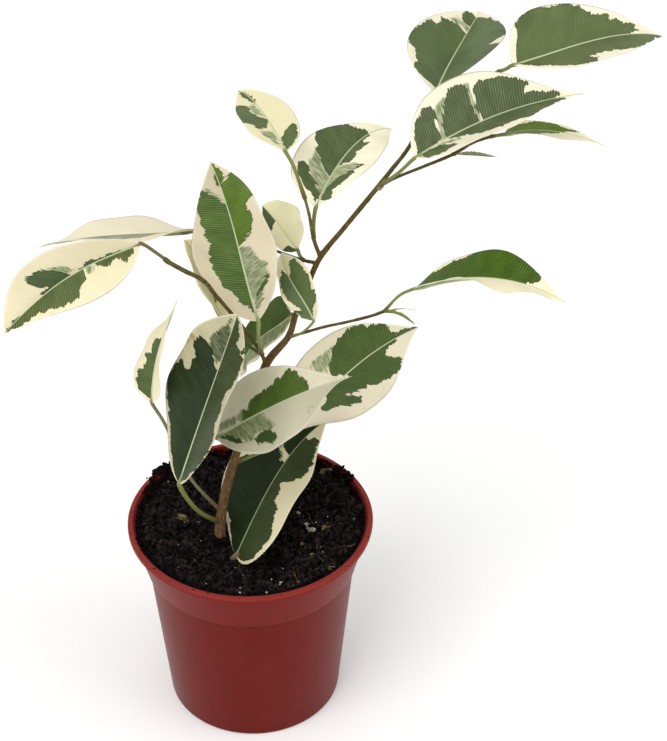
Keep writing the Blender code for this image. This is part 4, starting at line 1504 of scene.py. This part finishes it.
# Outlines of the patches that aren't cream, in percent of the length and of the half width
PATCHES = {
    "leaf_far_left": {
        Tone.GREEN: [
            ((35, 0), (36, 15), (40, 20), (43, 10), (47, 5), (47, 0)),
            ((53, 2), (54, 15), (58, 40), (62, 50), (66, 68), (70, 72), (72.5, 80), (73.5, 70), (73, 62),
             (74.8, 60), (74, 45), (72, 25), (69, 10), (74, 8), (74, 0)),
            ((76, 0), (90, 6), (100, 15), (100, -10), (76, -10)),
            ((6, -5), (7, -30), (8.5, -40), (9.5, -50), (14, -50), (16.5, -38), (17, -25), (22, -20),
             (25, -22), (27, -30), (31, -22), (35, -12), (35, 0)),
            ((12, 0), (15, 10), (25, 14), (35, 8), (36, 0)),
            ((44, 0), (46, -30), (50, -40), (54, -55), (56, -70), (62, -78), (68, -80), (72, -75),
             (76, -70), (80, -68), (83, -70), (85, -50), (87, -68), (90, -75), (93, -95), (100, -110),
             (100, 0)),
        ],
        Tone.PALE: [
            ((50, 10), (52, 30), (58, 48), (63, 60), (60, 35), (55, 10)),
            ((36, -8), (40, -25), (43, -20), (44, 0)),
        ],
    },
    "leaf_left_upper": {
        Tone.GREEN: [
            ((20, 0), (30, -40), (50, -55), (70, -40), (80, 0)),
        ],
    },
    "leaf_left_folded": {
        Tone.GREEN: [
            ((30, 10), (45, 50), (60, 55), (70, 30), (60, 5)),
        ],
    },
    "leaf_centre_tall": {
        Tone.GREEN: [
            ((3, 0), (5, -15), (8, -30), (12, -42), (14, -50), (20, -50), (25, -60), (30, -62), (35, -65),
             (45, -68), (50, -65), (53, -57), (57, -65), (63, -72), (66, -80), (68, -85), (72, -85),
             (76, -95), (80, -100), (85, -105), (88, -110), (87, -90), (85, -60), (82, -40), (78, -20),
             (74, -5), (72, 0)),
            ((45, 0), (50, 25), (54, 50), (58, 58), (62, 62), (65, 65), (69, 62), (72, 68), (74, 85),
             (75.5, 110), (92, 110), (91, 80), (88, 35), (84.5, 0)),
            ((86, 0), (88, 20), (92, 45), (97, 50), (100, 0), (100, -15), (86, -20)),
        ],
        Tone.PALE: [
            ((73, -5), (78, -10), (84, -35), (87, -65), (87, -75), (82, -50), (77, -25)),
            ((3, 10), (8, 40), (20, 60), (25, 72), (32, 72), (35, 60), (38, 40), (42, 40), (46, 30),
             (46, 0), (20, 2)),
        ],
        Tone.DEEP: [
            ((8, 12), (12, 30), (18, 52), (24, 78), (26, 70), (20, 42), (14, 20)),
        ],
    },
    "leaf_centre_back": {
        Tone.GREEN: [
            ((60, -110), (60, -50), (68, 2), (72, 8), (85, 3), (99, 0), (99, -110)),
            ((0, -100), (2, -20), (10, -25), (20, -40), (20, -100)),
        ],
    },
    "leaf_centre_small": {
        Tone.GREEN: [
            ((2, 0), (10, 25), (18, 50), (22, 85), (26, 110), (30, 95), (32, 110), (35, 85), (37, 78),
             (40, 90), (50, 95), (60, 82), (75, 85), (85, 90), (83, 75), (85, 50), (80, 30), (72, 22),
             (66, 5), (66, -10), (30, -10)),
            ((2, 0), (5, -50), (8, -85), (10, -100), (28, -105), (31, -95), (27, -70), (24, -50), (30, -55),
             (35, -65), (45, -75), (55, -82), (58, -75), (62, -90), (68, -80), (75, -50), (78, -35),
             (70, -5), (66, 10), (30, 10)),
        ],
    },
    "leaf_right_arching": {
        Tone.GREEN: [
            ((0, 0), (0.5, -110), (13, -110), (15, -80), (20, -75), (24, -82), (28, -92), (32, -95),
             (40, -93), (46, -110), (78, -110), (82, -95), (84, -70), (82, -40), (78, -15), (72, 0)),
            ((0, -10), (0, 10), (5, 30), (20, 45), (30, 20), (33, 0), (20, -10)),
        ],
    },
    "leaf_right_low": {
        Tone.GREEN: [
            ((26, 25), (28, 45), (32, 42), (36, 52), (40, 65), (46, 72), (49, 62), (47, 50), (42, 32),
             (45, 35), (50, 50), (56, 52), (60, 62), (66, 70), (70, 80), (76, 90), (79, 100), (80, 92),
             (84, 95), (83, 75), (80, 60), (76, 30), (80, 20), (84, 18), (86, 10), (85, -5), (54, 0),
             (52, 8), (47, 2), (42, 0), (36, 5), (30, 18)),
            ((46, -20), (50, -5), (55, 0), (86, 0), (88, -30), (85, -50), (86, -80), (85, -110), (82, -100),
             (80, -90), (75, -100), (70, -95), (65, -85), (60, -75), (56, -62), (52, -45), (48, -35)),
            ((84, 0), (87, -20), (91, -35), (95, -60), (98.5, -85), (98, 0)),
            ((10, -5), (14, -50), (22, -70), (34, -60), (36, -20), (30, 0)),
        ],
        Tone.PALE: [
            ((42, -75), (44, -50), (46, -30), (50, -45), (54, -60), (57, -70), (50, -72), (44, -75)),
        ],
    },
    "leaf_front_pale": {
        Tone.GREEN: [
            ((24, -5), (26, -28), (30, -20), (32, -35), (38, -45), (45, -45), (50, -50), (55, -62),
             (60, -75), (64, -88), (70, -90), (70, -60), (73.5, -50), (73.5, -10), (72, 0), (30, 0)),
        ],
        Tone.PALE: [
            ((5, -70), (10, -50), (18, -30), (25, -30), (25, -5), (10, -10), (4, -30)),
            ((2, 0), (5, 45), (15, 55), (25, 60), (30, 45), (40, 50), (46, 50), (42, 25), (38, 5), (38, 0)),
        ],
        Tone.DEEP: [
            ((3, 20), (5, 50), (10, 55), (15, 70), (21, 65), (18, 50), (12, 30), (6, 20)),
            ((28, 55), (30, 70), (36, 78), (42, 85), (46, 75), (45, 60), (40, 48), (33, 45)),
        ],
    },
    "leaf_front_dark": {
        Tone.GREEN: [
            ((0, 0), (2, -60), (6, -78), (10, -66), (12, -80), (19, -84), (20, -84), (25, -88), (32, -92),
             (38, -102), (48, -100), (54, -90), (51, -70), (52, -60), (57, -68), (60, -65), (65, -80),
             (75, -80), (73, -55), (70, -35), (66, -20), (62, -10), (60, 0)),
            ((0, -5), (2, 60), (6, 82), (12, 90), (20, 97), (30, 97), (36, 92), (42, 80), (46, 84),
             (52, 88), (54, 72), (60, 80), (65, 90), (75, 93), (83, 97), (80, 78), (82, 50), (86, 60),
             (92, 50), (100, 20), (100, -15), (90, -10), (80, 0)),
        ],
        Tone.PALE: [
            ((64, -10), (72, -45), (76, -52), (82, -42), (90, -38), (95, -50), (95, -20), (85, -5),
             (70, 0)),
        ],
    },
    "leaf_left_small": {
        Tone.GREEN: [
            ((2, 0), (4, -60), (5, -95), (8, -80), (12, -85), (19, -85), (21, -60), (23, -50), (25, -62),
             (28, -50), (31, -50), (33, -70), (35, -72), (37, -50), (39, -42), (45, -48), (54, -48),
             (56, -20), (58, -10), (50, 0)),
        ],
    },
    "leaf_on_soil": {
        Tone.GREEN: [
            ((0, 0), (1, 80), (5, 85), (10, 85), (20, 87), (25, 80), (30, 65), (35, 60), (38, 50), (40, 35),
             (44, 40), (48, 35), (52, 25), (54, 55), (58, 75), (65, 86), (72, 92), (80, 90), (86, 82),
             (86.5, 50), (83, 20), (84, 5), (90, 5), (90, -10)),
            ((0, 5), (1, -90), (6, -88), (11, -78), (17, -74), (22, -82), (28, -94), (52, -96), (60, -76),
             (66, -50), (71.5, -46), (70, -28), (64, -10), (62, 5)),
            ((68, 0), (76, -40), (84, -42), (90, -50), (95, -20), (94, 0)),
        ],
        Tone.PALE: [
            ((62, -5), (68, -15), (76, -50), (73, -50), (68, -30)),
        ],
    },
    "leaf_centre_hidden": {
        Tone.GREEN: [
            ((0, 0), (0, 110), (95, 110), (95, 0)),
        ],
        Tone.PALE: [
            ((0, 0), (4, -75), (30, -85), (90, -85), (90, 0)),
        ],
    },
    "leaf_top_small": {
        Tone.GREEN: [
            ((3, 30), (8, 60), (12, 82), (18, 95), (23, 88), (30, 92), (35, 80), (31, 55), (25, 25),
             (20, 10), (12, 5), (5, 12)),
            ((33, -25), (35, -20), (38, -20), (41, -8), (46, 0), (49, -20), (54, -35), (60, -45), (65, -40),
             (70, -55), (73, -80), (74, -100), (68, -95), (50, -105), (42, -98), (38, -65), (34, -60)),
            ((70, 0), (80, 15), (90, 25), (97, 10), (97, -50), (92, -65), (85, -45), (76, -20)),
        ],
        Tone.PALE: [
            ((10, -20), (20, -10), (30, -10), (30, -60), (20, -50), (12, -45)),
            ((50, -5), (60, -10), (70, -5), (68, -35), (60, -40), (53, -30)),
        ],
    },
    "leaf_top_centre": {
        Tone.GREEN: [
            ((5, 10), (8, 80), (12, 100), (15, 70), (19, 50), (25, 58), (35, 66), (40, 60), (45, 75),
             (49, 80), (46, 65), (40, 50), (34, 45), (30, 30), (26, 15), (15, 10)),
            ((41, 0), (43, 15), (45, 30), (52, 30), (56, 22), (60, 30), (69, 33), (66, 20), (70, 8),
             (76, 12), (80, 3), (79, 0)),
            ((3, -15), (8, -30), (12, -50), (14, -70), (11.5, -55), (18, -70), (23, -82), (30, -82),
             (32, -72), (30, -55), (24, -40), (18, -20), (16, -10), (10, -5)),
            ((29, 0), (33, -20), (38, -35), (43, -60), (47, -65), (48, -85), (52, -100), (60, -105),
             (66, -95), (70, -100), (71.5, -70), (76, -50), (79, -20), (78, 0), (60, 0)),
        ],
        Tone.PALE: [
            ((10, 5), (20, 40), (35, 55), (46, 70), (46, 40), (42, 2)),
            ((10, -4), (30, -2), (36, -20), (43, -50), (45, -64), (36, -64), (28, -60), (16, -35)),
        ],
    },
    "leaf_top_back": {
        Tone.GREEN: [
            ((3, 0), (10, -40), (14, -75), (20, -95), (25, -85), (28, -75), (40, -80), (42, -95),
             (50, -108), (60, -100), (72, -95), (73, -75), (80, -85), (82, -60), (81, -10), (80, 0)),
            ((87, 0), (95, 0), (96, -60), (94, -90), (90, -60), (86, -30)),
            ((2, 0), (5, 110), (55, 110), (60, 85), (62, 75), (68, 85), (73, 100), (80, 108), (90, 100),
             (95, 80), (95, 0)),
        ],
        Tone.PALE: [
            ((81, -5), (87, -5), (87, -70), (83, -70)),
        ],
    },
    "leaf_top_right": {
        Tone.GREEN: [
            ((3, 0), (6, -40), (8, -70), (11, -95), (20, -102), (35, -95), (45, -98), (52, -95), (57, -70),
             (62, -80), (70, -90), (65, -60), (70, -75), (73, -60), (78, -70), (82, -70), (81, -45),
             (84, -30), (80, -10), (75, 0)),
            ((2, 0), (5, 50), (15, 75), (30, 90), (40, 98), (48, 95), (48, 80), (45, 68), (55, 65),
             (65, 80), (75, 95), (85, 100), (96, 95), (98.5, 80), (98.5, 0), (75, 0)),
        ],
    },
    "leaf_right_upper": {
        Tone.GREEN: [
            ((2, 0), (5, -55), (8, -80), (10, -92), (15, -85), (18, -88), (23, -75), (23, -60), (20, -35),
             (19, -10), (10, 0)),
            ((21, -3), (24, -35), (28, -55), (32, -75), (38, -85), (43, -80), (44, -60), (42.5, -20),
             (43, -3)),
            ((44, -3), (46, -60), (48, -75), (55, -80), (62, -90), (70, -95), (75, -90), (72, -60),
             (70, -40), (76, -50), (82, -60), (87, -60), (88, -40), (85, -10), (80, 0)),
            ((2, 0), (6, 90), (10, 85), (15, 75), (25, 65), (20, 40), (15, 15)),
            ((20, 5), (28, 30), (35, 60), (42, 75), (55, 72), (62, 85), (70, 100), (90, 100), (90, 40),
             (85, 0)),
        ],
        Tone.PALE: [
            ((18, -5), (24, -70), (46, -80), (44, -5)),
            ((12, 10), (20, 40), (28, 50), (24, 20), (20, 10)),
        ],
    },
    "leaf_right_narrow": {
        Tone.GREEN: [
            ((2, 110), (2, -110), (15, -110), (20, -85), (25, -75), (35, -75), (40, -90), (48, -95),
             (58, -88), (60, -65), (65, -55), (70, -70), (74, -90), (72, -60), (65, -30), (55, 10),
             (48, 35), (35, 45), (22, 90), (15, 110)),
        ],
    },
    "leaf_young": {
        Tone.GREEN: [
            ((-10, 130), (110, 130), (110, -130), (-10, -130)),
        ],
    },
}

# The leaves, each named for its place on the plant
LEAVES = (
    Leaf(
        name="leaf_far_left",
        stalk=((-17, -5.5, 140.5), (-19.5, -5, 142.5)),
        midrib=((-23.5, -5, 145.5), (-33.5, -8, 142.5), (-44, -10, 136.5), (-56.5, -12, 124.5)),
        facing=((0.3, -0.9, 0.2), (0, -0.9, 0.3), (-0.5, -0.7, 0.6)),
        half_widths=(8, 10.5), folds=(16, 36), widest=(0.44, 0.52), taper=1.7,
        waves=((0.2, 0.9), (0.5, 0.6)),
        finish=LeafFinish("leaf_cream", ("#4A5826", "#3C4F2A"), cream="#E2D9B8", stalk="#6A5C38"),
    ),
    Leaf(
        name="leaf_left_upper",
        stalk=((-2, 16, 134), (-7, 16, 135.5)),
        midrib=((-11.5, 16, 136), (-24.5, 14, 136), (-36.5, 11, 137), (-50, 8, 136)),
        facing=((-0.2, 0.6, 0.8), (0.1, 0.2, 1), (-0.3, 0.6, 0.7)),
        half_widths=(9.5, 10), folds=(10, 8), widest=(0.4, 0.4), taper=1.8, waves=((0.1, 0.8), (0.5, 0.65)),
        finish=LeafFinish(
            "leaf_cream", ("#8A8C74", "#8A8C74"), cream="#E3DAC0", midrib="#6F6C55", stalk="#7E7A62",
        ),
    ),
    Leaf(
        name="leaf_left_folded",
        stalk=((4.5, 1.5, 108.5), (1.5, 2.5, 110)),
        midrib=((-1.5, 1, 113.5), (-7.5, 4, 122.5), (-11, 7, 131.5), (-14.5, 9, 137.5)),
        facing=((0.7, 0.3, 0.6), (0.9, -0.2, 0.4), (0.6, -0.4, 0.7)),
        half_widths=(7.5, 7), folds=(16, 14), widest=(0.44, 0.44), taper=1.7, waves=((0.4, 0.5), (0, 0.6)),
        finish=LeafFinish(
            "leaf_cream", ("#4E6034", "#4E6034"), cream="#DED3A2", midrib="#A08A52", stalk="#47522A",
        ),
    ),
    Leaf(
        name="leaf_centre_tall",
        stalk=((4, -1.5, 111.5), (3.5, -3.5, 117.5)),
        midrib=((3.5, -1.5, 121), (0, 3, 134), (-3, 8, 145), (-7.5, 13, 157)),
        facing=((0.2, -0.9, 0.3), (-0.3, -0.9, 0.3), (-0.1, -0.9, 0.3)),
        half_widths=(11, 10.6), folds=(24, 14), widest=(0.44, 0.5), taper=1.6,
        waves=((0.7, 0.1), (0.9, 0.8)),
        # The left half's cream is painted darker, as the shade its margin lies in
        finish=LeafFinish(
            "leaf_bright_green", ("#435B1F", "#4E6715"), cream="#D2C7AE", left_cream_painted_shading="#BDB299",
            pale="#8B9473", deep="#3F5527", stalk="#7F8D55",
        ),
        stalk_radius=0.52,
    ),
    Leaf(
        name="leaf_centre_back",
        stalk=((14.5, 10, 131), (13.5, 13, 130.5)),
        midrib=((13, 14.5, 131), (10.5, 18.5, 132.5), (7.5, 22, 135), (4, 26, 137)),
        facing=((-0.6, -0.5, 0.6), (-0.5, -0.7, 0.5), (-0.5, -0.6, 0.6)),
        half_widths=(4, 7), folds=(14, 10), widest=(0.44, 0.48), taper=1.6, waves=((0, 0.6), (0.8, 0.45)),
        finish=LeafFinish(
            "leaf_cream", ("#3C4F26", "#3C4F26"), cream="#EEE9C4", cream_shade="#E6DFB2", midrib="#D8D2A2",
            ragged=0.4,
        ),
    ),
    Leaf(
        name="leaf_centre_small",
        stalk=((10.5, 2, 113.5), (14, -1, 117)),
        midrib=((17, -1, 120.5), (14.5, 2, 124.5), (11, 7, 128), (9, 12, 132)),
        facing=((-0.5, -0.8, 0.1), (-0.5, -0.7, 0.5), (-0.3, -0.7, 0.6)),
        half_widths=(4, 6.5), folds=(16, 16), widest=(0.42, 0.52), taper=1.7,
        waves=((0.6, 0.15), (0.2, 0.4)),
        finish=LeafFinish("leaf_dark_green", ("#54663F", "#586B40"), vein="#8FA382", veins=0.3, ragged=0.7),
        stalk_radius=0.3,
    ),
    Leaf(
        name="leaf_right_arching",
        stalk=((34, -4, 125.5), (37.5, -4, 130)),
        midrib=((41, -4, 132), (52.5, -4, 135), (65, -4, 134), (77.5, -4, 128)),
        facing=((-0.3, 0.5, 0.8), (0, 0.1, 1), (0.6, -0.3, 0.8)),
        half_widths=(10, 9.5), folds=(16, 16), widest=(0.48, 0.46), taper=1.8,
        waves=((0.4, 0.85), (1.1, 0.5)),
        finish=LeafFinish(
            "leaf_bright_green", ("#375207", "#375207"), cream="#F0E8C8", vein="#7E9A4C", veins=0.7,
        ),
        drips=(0.9, 0.5), stalk_radius=0.36,
    ),
    Leaf(
        name="leaf_right_low",
        stalk=((-3.5, -2.5, 77.5), (2.5, -2.5, 80.5)),
        midrib=((9.5, -2, 84.5), (19, 2, 95), (30, 6, 104.5), (43.2, 8.8, 112)),
        facing=((0.6, -0.7, -0.3), (0.1, -1, 0.3), (0, -1, 0.3)),
        half_widths=(12, 12.5), folds=(4, -8), widest=(0.48, 0.52), taper=1.9,
        waves=((0.7, 0.05), (0.8, 0.5)),
        finish=LeafFinish("leaf_sage_green", ("#3F5420", "#3C511F"), vein="#7E9160", cream="#DDD4BC"),
        drips=(0.5, 0.6), spots=((0.62, 0.85, 0.2), (0.44, 0.88, 0.18)),
    ),
    Leaf(
        name="leaf_front_pale",
        stalk=((-1.5, -1.6, 84), (-4.5, -5, 86.5)),
        midrib=((-7.5, -8, 90), (2.5, -10, 98.5), (13.5, -12, 106.5), (26.5, -14, 113.5)),
        facing=((-0.6, -0.4, 0.7), (-0.6, -0.6, 0.6), (-0.4, -0.1, 0.9)),
        half_widths=(10.5, 10.5), folds=(3, 0), widest=(0.4, 0.44), taper=1.9,
        waves=((0.4, 0.75), (1.1, 0.15)),
        # The cream is painted greyer, as the shade this leaf lies in, and the left half's cream lighter, to
        # offset the shade that the dark leaf beside it casts
        finish=LeafFinish(
            "leaf_cream", ("#42581F", "#42581F"), vein="#74884E", cream="#BAB59E", left_cream_painted_shading="#D3CDB4",
            cream_shade="#B8B29B", pale="#7F8862", deep="#34471C",
        ),
        drips=(0.75, 0.75), spots=((0.7, 0.7, 0.25), (0.72, 0.62, 0.18), (0.74, 0.72, 0.2)),
    ),
    Leaf(
        name="leaf_front_dark",
        stalk=((-7.5, -3.5, 58), (-13, -11, 69)),
        midrib=((-16.5, -17, 82.5), (-10.5, -15, 101), (-5, -12.5, 117), (-1, -9.5, 128.5)),
        facing=((-0.8, -0.6, 0.3), (-0.8, -0.5, 0.3), (-0.5, -0.7, 0.5)),
        half_widths=(12.5, 12), folds=(20, 16), widest=(0.48, 0.5), taper=1.6,
        waves=((0.8, 0.35), (0.7, 0)),
        # The right half's lighter green is partly a painted grey sheen
        finish=LeafFinish(
            "leaf_dark_green", ("#1C2B10", "#333F20"), vein="#667857", cream="#B1AC8D", pale="#4C573A",
            specular=0.14, streaks=0.45, stain="#A88E58",
        ),
        spots=((0.7, -0.92, 1.1), (0.66, -0.97, 0.8)), stalk_radius=0.58, vein_angle=60,
    ),
    Leaf(
        name="leaf_left_small",
        stalk=((-7, -3.5, 61.5), (-15, -5.5, 75.5), (-20, -7.5, 93.5)),
        midrib=((-23, -8, 101), (-21.5, -6, 112), (-19, -3, 119.5), (-16, 0, 126)),
        facing=((-0.6, -0.8, 0.1), (-0.9, -0.3, 0.4), (-0.8, -0.2, 0.5)),
        half_widths=(6.5, 6.5), folds=(12, 16), widest=(0.26, 0.38), taper=1.8,
        waves=((0.4, 0), (0.3, 0.45)),
        finish=LeafFinish("leaf_sage_green", ("#3F5320", "#3F5320"), stalk="#7A745A"),
        drips=(0.9, 0.9),
    ),
    Leaf(
        name="leaf_on_soil",
        stalk=((-8, -3.5, 52.5), (-6, -9.5, 51.5)),
        midrib=((-3.5, -12.5, 54.5), (2.5, -6, 65.5), (10, 5, 73), (20, 14, 78.5)),
        facing=((-0.9, -0.4, 0.4), (-0.5, -0.2, 0.9), (-0.2, -0.5, 0.9)),
        half_widths=(17.5, 12), folds=(0, 0), widest=(0.48, 0.34), taper=1.4,
        waves=((0.1, 0.2), (0.7, 0.3)),
        finish=LeafFinish(
            "leaf_dark_green", ("#18260C", "#333F20"), midrib="#8C9A78", vein="#6E8466", veins=0.2,
            cream="#D6CDAD", stalk="#6E6054", stain="#6A5236", specular=0.08,
        ),
        spots=((0.03, 0.2, 0.7),), stalk_radius=0.8,
    ),
    Leaf(
        name="leaf_centre_hidden",
        stalk=((11.7, 4.2, 116.3), (11.9, 6.4, 116.6)),
        midrib=((11.4, 8.3, 116.2), (6.5, 12, 109), (1, 16, 100.8), (-2.5, 20, 88)),
        facing=((-0.9, -0.2, 0.4), (-0.8, -0.1, 0.5), (-0.8, -0.5, -0.1)),
        half_widths=(7.5, 9), folds=(8, 8), widest=(0.42, 0.38), taper=1.7,
        waves=((0.6, 0.65), (0.3, 0.65)),
        finish=LeafFinish(
            "leaf_dark_green", ("#3C5016", "#415716"), pale="#7C8A5C", vein="#5E7A44", veins=0.2,
            specular=0.04,
        ),
    ),
    Leaf(
        name="leaf_top_small",
        stalk=((15, 7, 150.5), (12.5, 7, 159)),
        midrib=((10.5, 10, 161.5), (7.5, 18, 163), (3.5, 26, 165), (-1.5, 32, 166)),
        facing=((0.2, -0.1, 1), (0.1, -0.2, 1), (-0.1, -0.2, 1)),
        half_widths=(7.5, 6.5), folds=(12, 12), widest=(0.44, 0.4), taper=1.8, waves=((0.5, 0.2), (0.2, 0)),
        finish=LeafFinish("leaf_sage_green", ("#4E5E35", "#4A5B30"), pale="#8C966E", cream="#DAD2AC"),
    ),
    Leaf(
        name="leaf_top_centre",
        stalk=((17, 8, 138.5), (17, 9.5, 142)),
        midrib=((17.5, 9, 146.5), (21.5, 19, 150), (28, 29, 153.5), (36.5, 37, 152.5)),
        facing=((0.1, -0.3, 0.9), (0, -0.3, 1), (0.5, -0.3, 0.8)),
        half_widths=(10.5, 9), folds=(18, 18), widest=(0.36, 0.52), taper=2.2,
        waves=((0.5, 0.15), (0.4, 0.65)),
        finish=LeafFinish("leaf_sage_green", ("#4A5932", "#4E5E35"), pale="#9AA37C", cream="#F8F2D8"),
        drips=(0.9, 0), stalk_radius=0.5,
    ),
    Leaf(
        name="leaf_top_back",
        stalk=((46, 18, 170), (45.5, 18.5, 171)),
        midrib=((46, 19, 172), (48.5, 30, 171.5), (52.5, 41, 173), (58, 51, 177.5)),
        facing=((0, 0.1, 1), (0, -0.1, 1), (-0.1, -0.5, 0.9)),
        half_widths=(12, 13.5), folds=(28, 30), widest=(0.52, 0.64), taper=1.7,
        waves=((0.2, 0.6), (0.1, 0.05)),
        finish=LeafFinish(
            "leaf_sage_green", ("#4C5E34", "#556640"), pale="#8F9C74", cream="#E8E1CB", veins=0.35,
        ),
    ),
    Leaf(
        name="leaf_top_right",
        stalk=((60.5, 21.5, 176.5), (62.5, 22, 177)),
        midrib=((64, 22, 178), (76, 26, 180), (88.5, 30, 181.5), (101, 34, 179.5)),
        facing=((0, -0.3, 0.9), (0, -0.4, 0.9), (0.4, -0.4, 0.8)),
        half_widths=(12, 9.5), folds=(20, 22), widest=(0.28, 0.44), taper=1.9,
        waves=((0.1, 0), (0.3, 0.05)),
        finish=LeafFinish(
            "leaf_sage_green", ("#536237", "#58653D"), pale="#8F9C74", cream="#E8E1CB", veins=0.2,
        ),
    ),
    Leaf(
        name="leaf_right_upper",
        stalk=((32.5, 9, 152.5), (37, 4.5, 159)),
        midrib=((40.5, 2.5, 164), (52.5, 7.5, 169), (65.5, 12.5, 172), (81, 18.2, 172.6)),
        facing=((-0.2, -0.4, 0.9), (-0.1, -0.3, 0.9), (0.2, -0.4, 0.9)),
        half_widths=(12.5, 10), folds=(28, 28), widest=(0.38, 0.4), taper=1.9,
        waves=((0.3, 0.95), (0.5, 0.5)),
        finish=LeafFinish(
            "leaf_sage_green", ("#475432", "#4F5C38"), pale="#8F9C74", cream="#E8E1CB", veins=0.6,
        ),
        drips=(0.9, 0.9), vein_angle=78,
    ),
    Leaf(
        name="leaf_right_narrow",
        stalk=((59.5, 19, 160.5), (61, 19.5, 160.5)),
        midrib=((62.5, 20, 160.5), (71, 23, 160), (80, 26, 157), (89, 28, 152.5)),
        facing=((-0.2, 0.4, 0.9), (0.2, 0.1, 1), (0.5, -0.2, 0.8)),
        half_widths=(6.5, 6.5), folds=(2, 4), widest=(0.32, 0.3), taper=2.8,
        waves=((0.2, 0.6), (0.1, 0.65)),
        finish=LeafFinish(
            "leaf_bright_green", ("#5A7400", "#5A7400"), vein="#3E5A10", cream="#EFE8CC", specular=0.08,
        ),
    ),
    Leaf(
        name="leaf_young",
        stalk=((50, 10.5, 160.5), (50.5, 10, 161)),
        midrib=((50.6, 9.6, 161), (53.6, 8.7, 161.8), (56.8, 7.8, 162), (60.2, 6.9, 161.9)),
        facing=((-0.3, -0.3, 0.9), (-0.2, -0.3, 0.9), (0.1, -0.4, 0.9)),
        half_widths=(0.6, 0.8), folds=(12, 14), widest=(0.42, 0.42), taper=1.7, waves=((0, 0), (0, 0)),
        finish=LeafFinish("leaf_bright_green", ("#8E9676", "#8E9676"), midrib="#A8AA8C"),
    ),
)


def main() -> None:
    """Build every piece, dress it and report it."""
    logging.basicConfig(level=logging.INFO, format="%(name)s: %(message)s")
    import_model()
    Studio().set_up()
    pot = Pot()
    pot.dress(pot.build())
    soil = Soil()
    soil.dress(soil.build())
    carrier = soil.top()
    for scatter in SCATTERS:
        scatter.dress(scatter.build(carrier))
    bpy.data.objects.remove(carrier, do_unlink=True)
    carrier = soil.edge()
    SPILL.dress(SPILL.build(carrier))
    bpy.data.objects.remove(carrier, do_unlink=True)
    for bits in (*LUMPS, ROOTS):
        bits.dress(bits.build(soil))
    stem = Stem(tuple(SHOOTS.values()))
    stem.dress(stem.build(LEAVES))
    for number, leaf in enumerate(LEAVES):
        leaf.dress(leaf.build(), SEED_STEP * number)


if __name__ == "__main__":
    main()
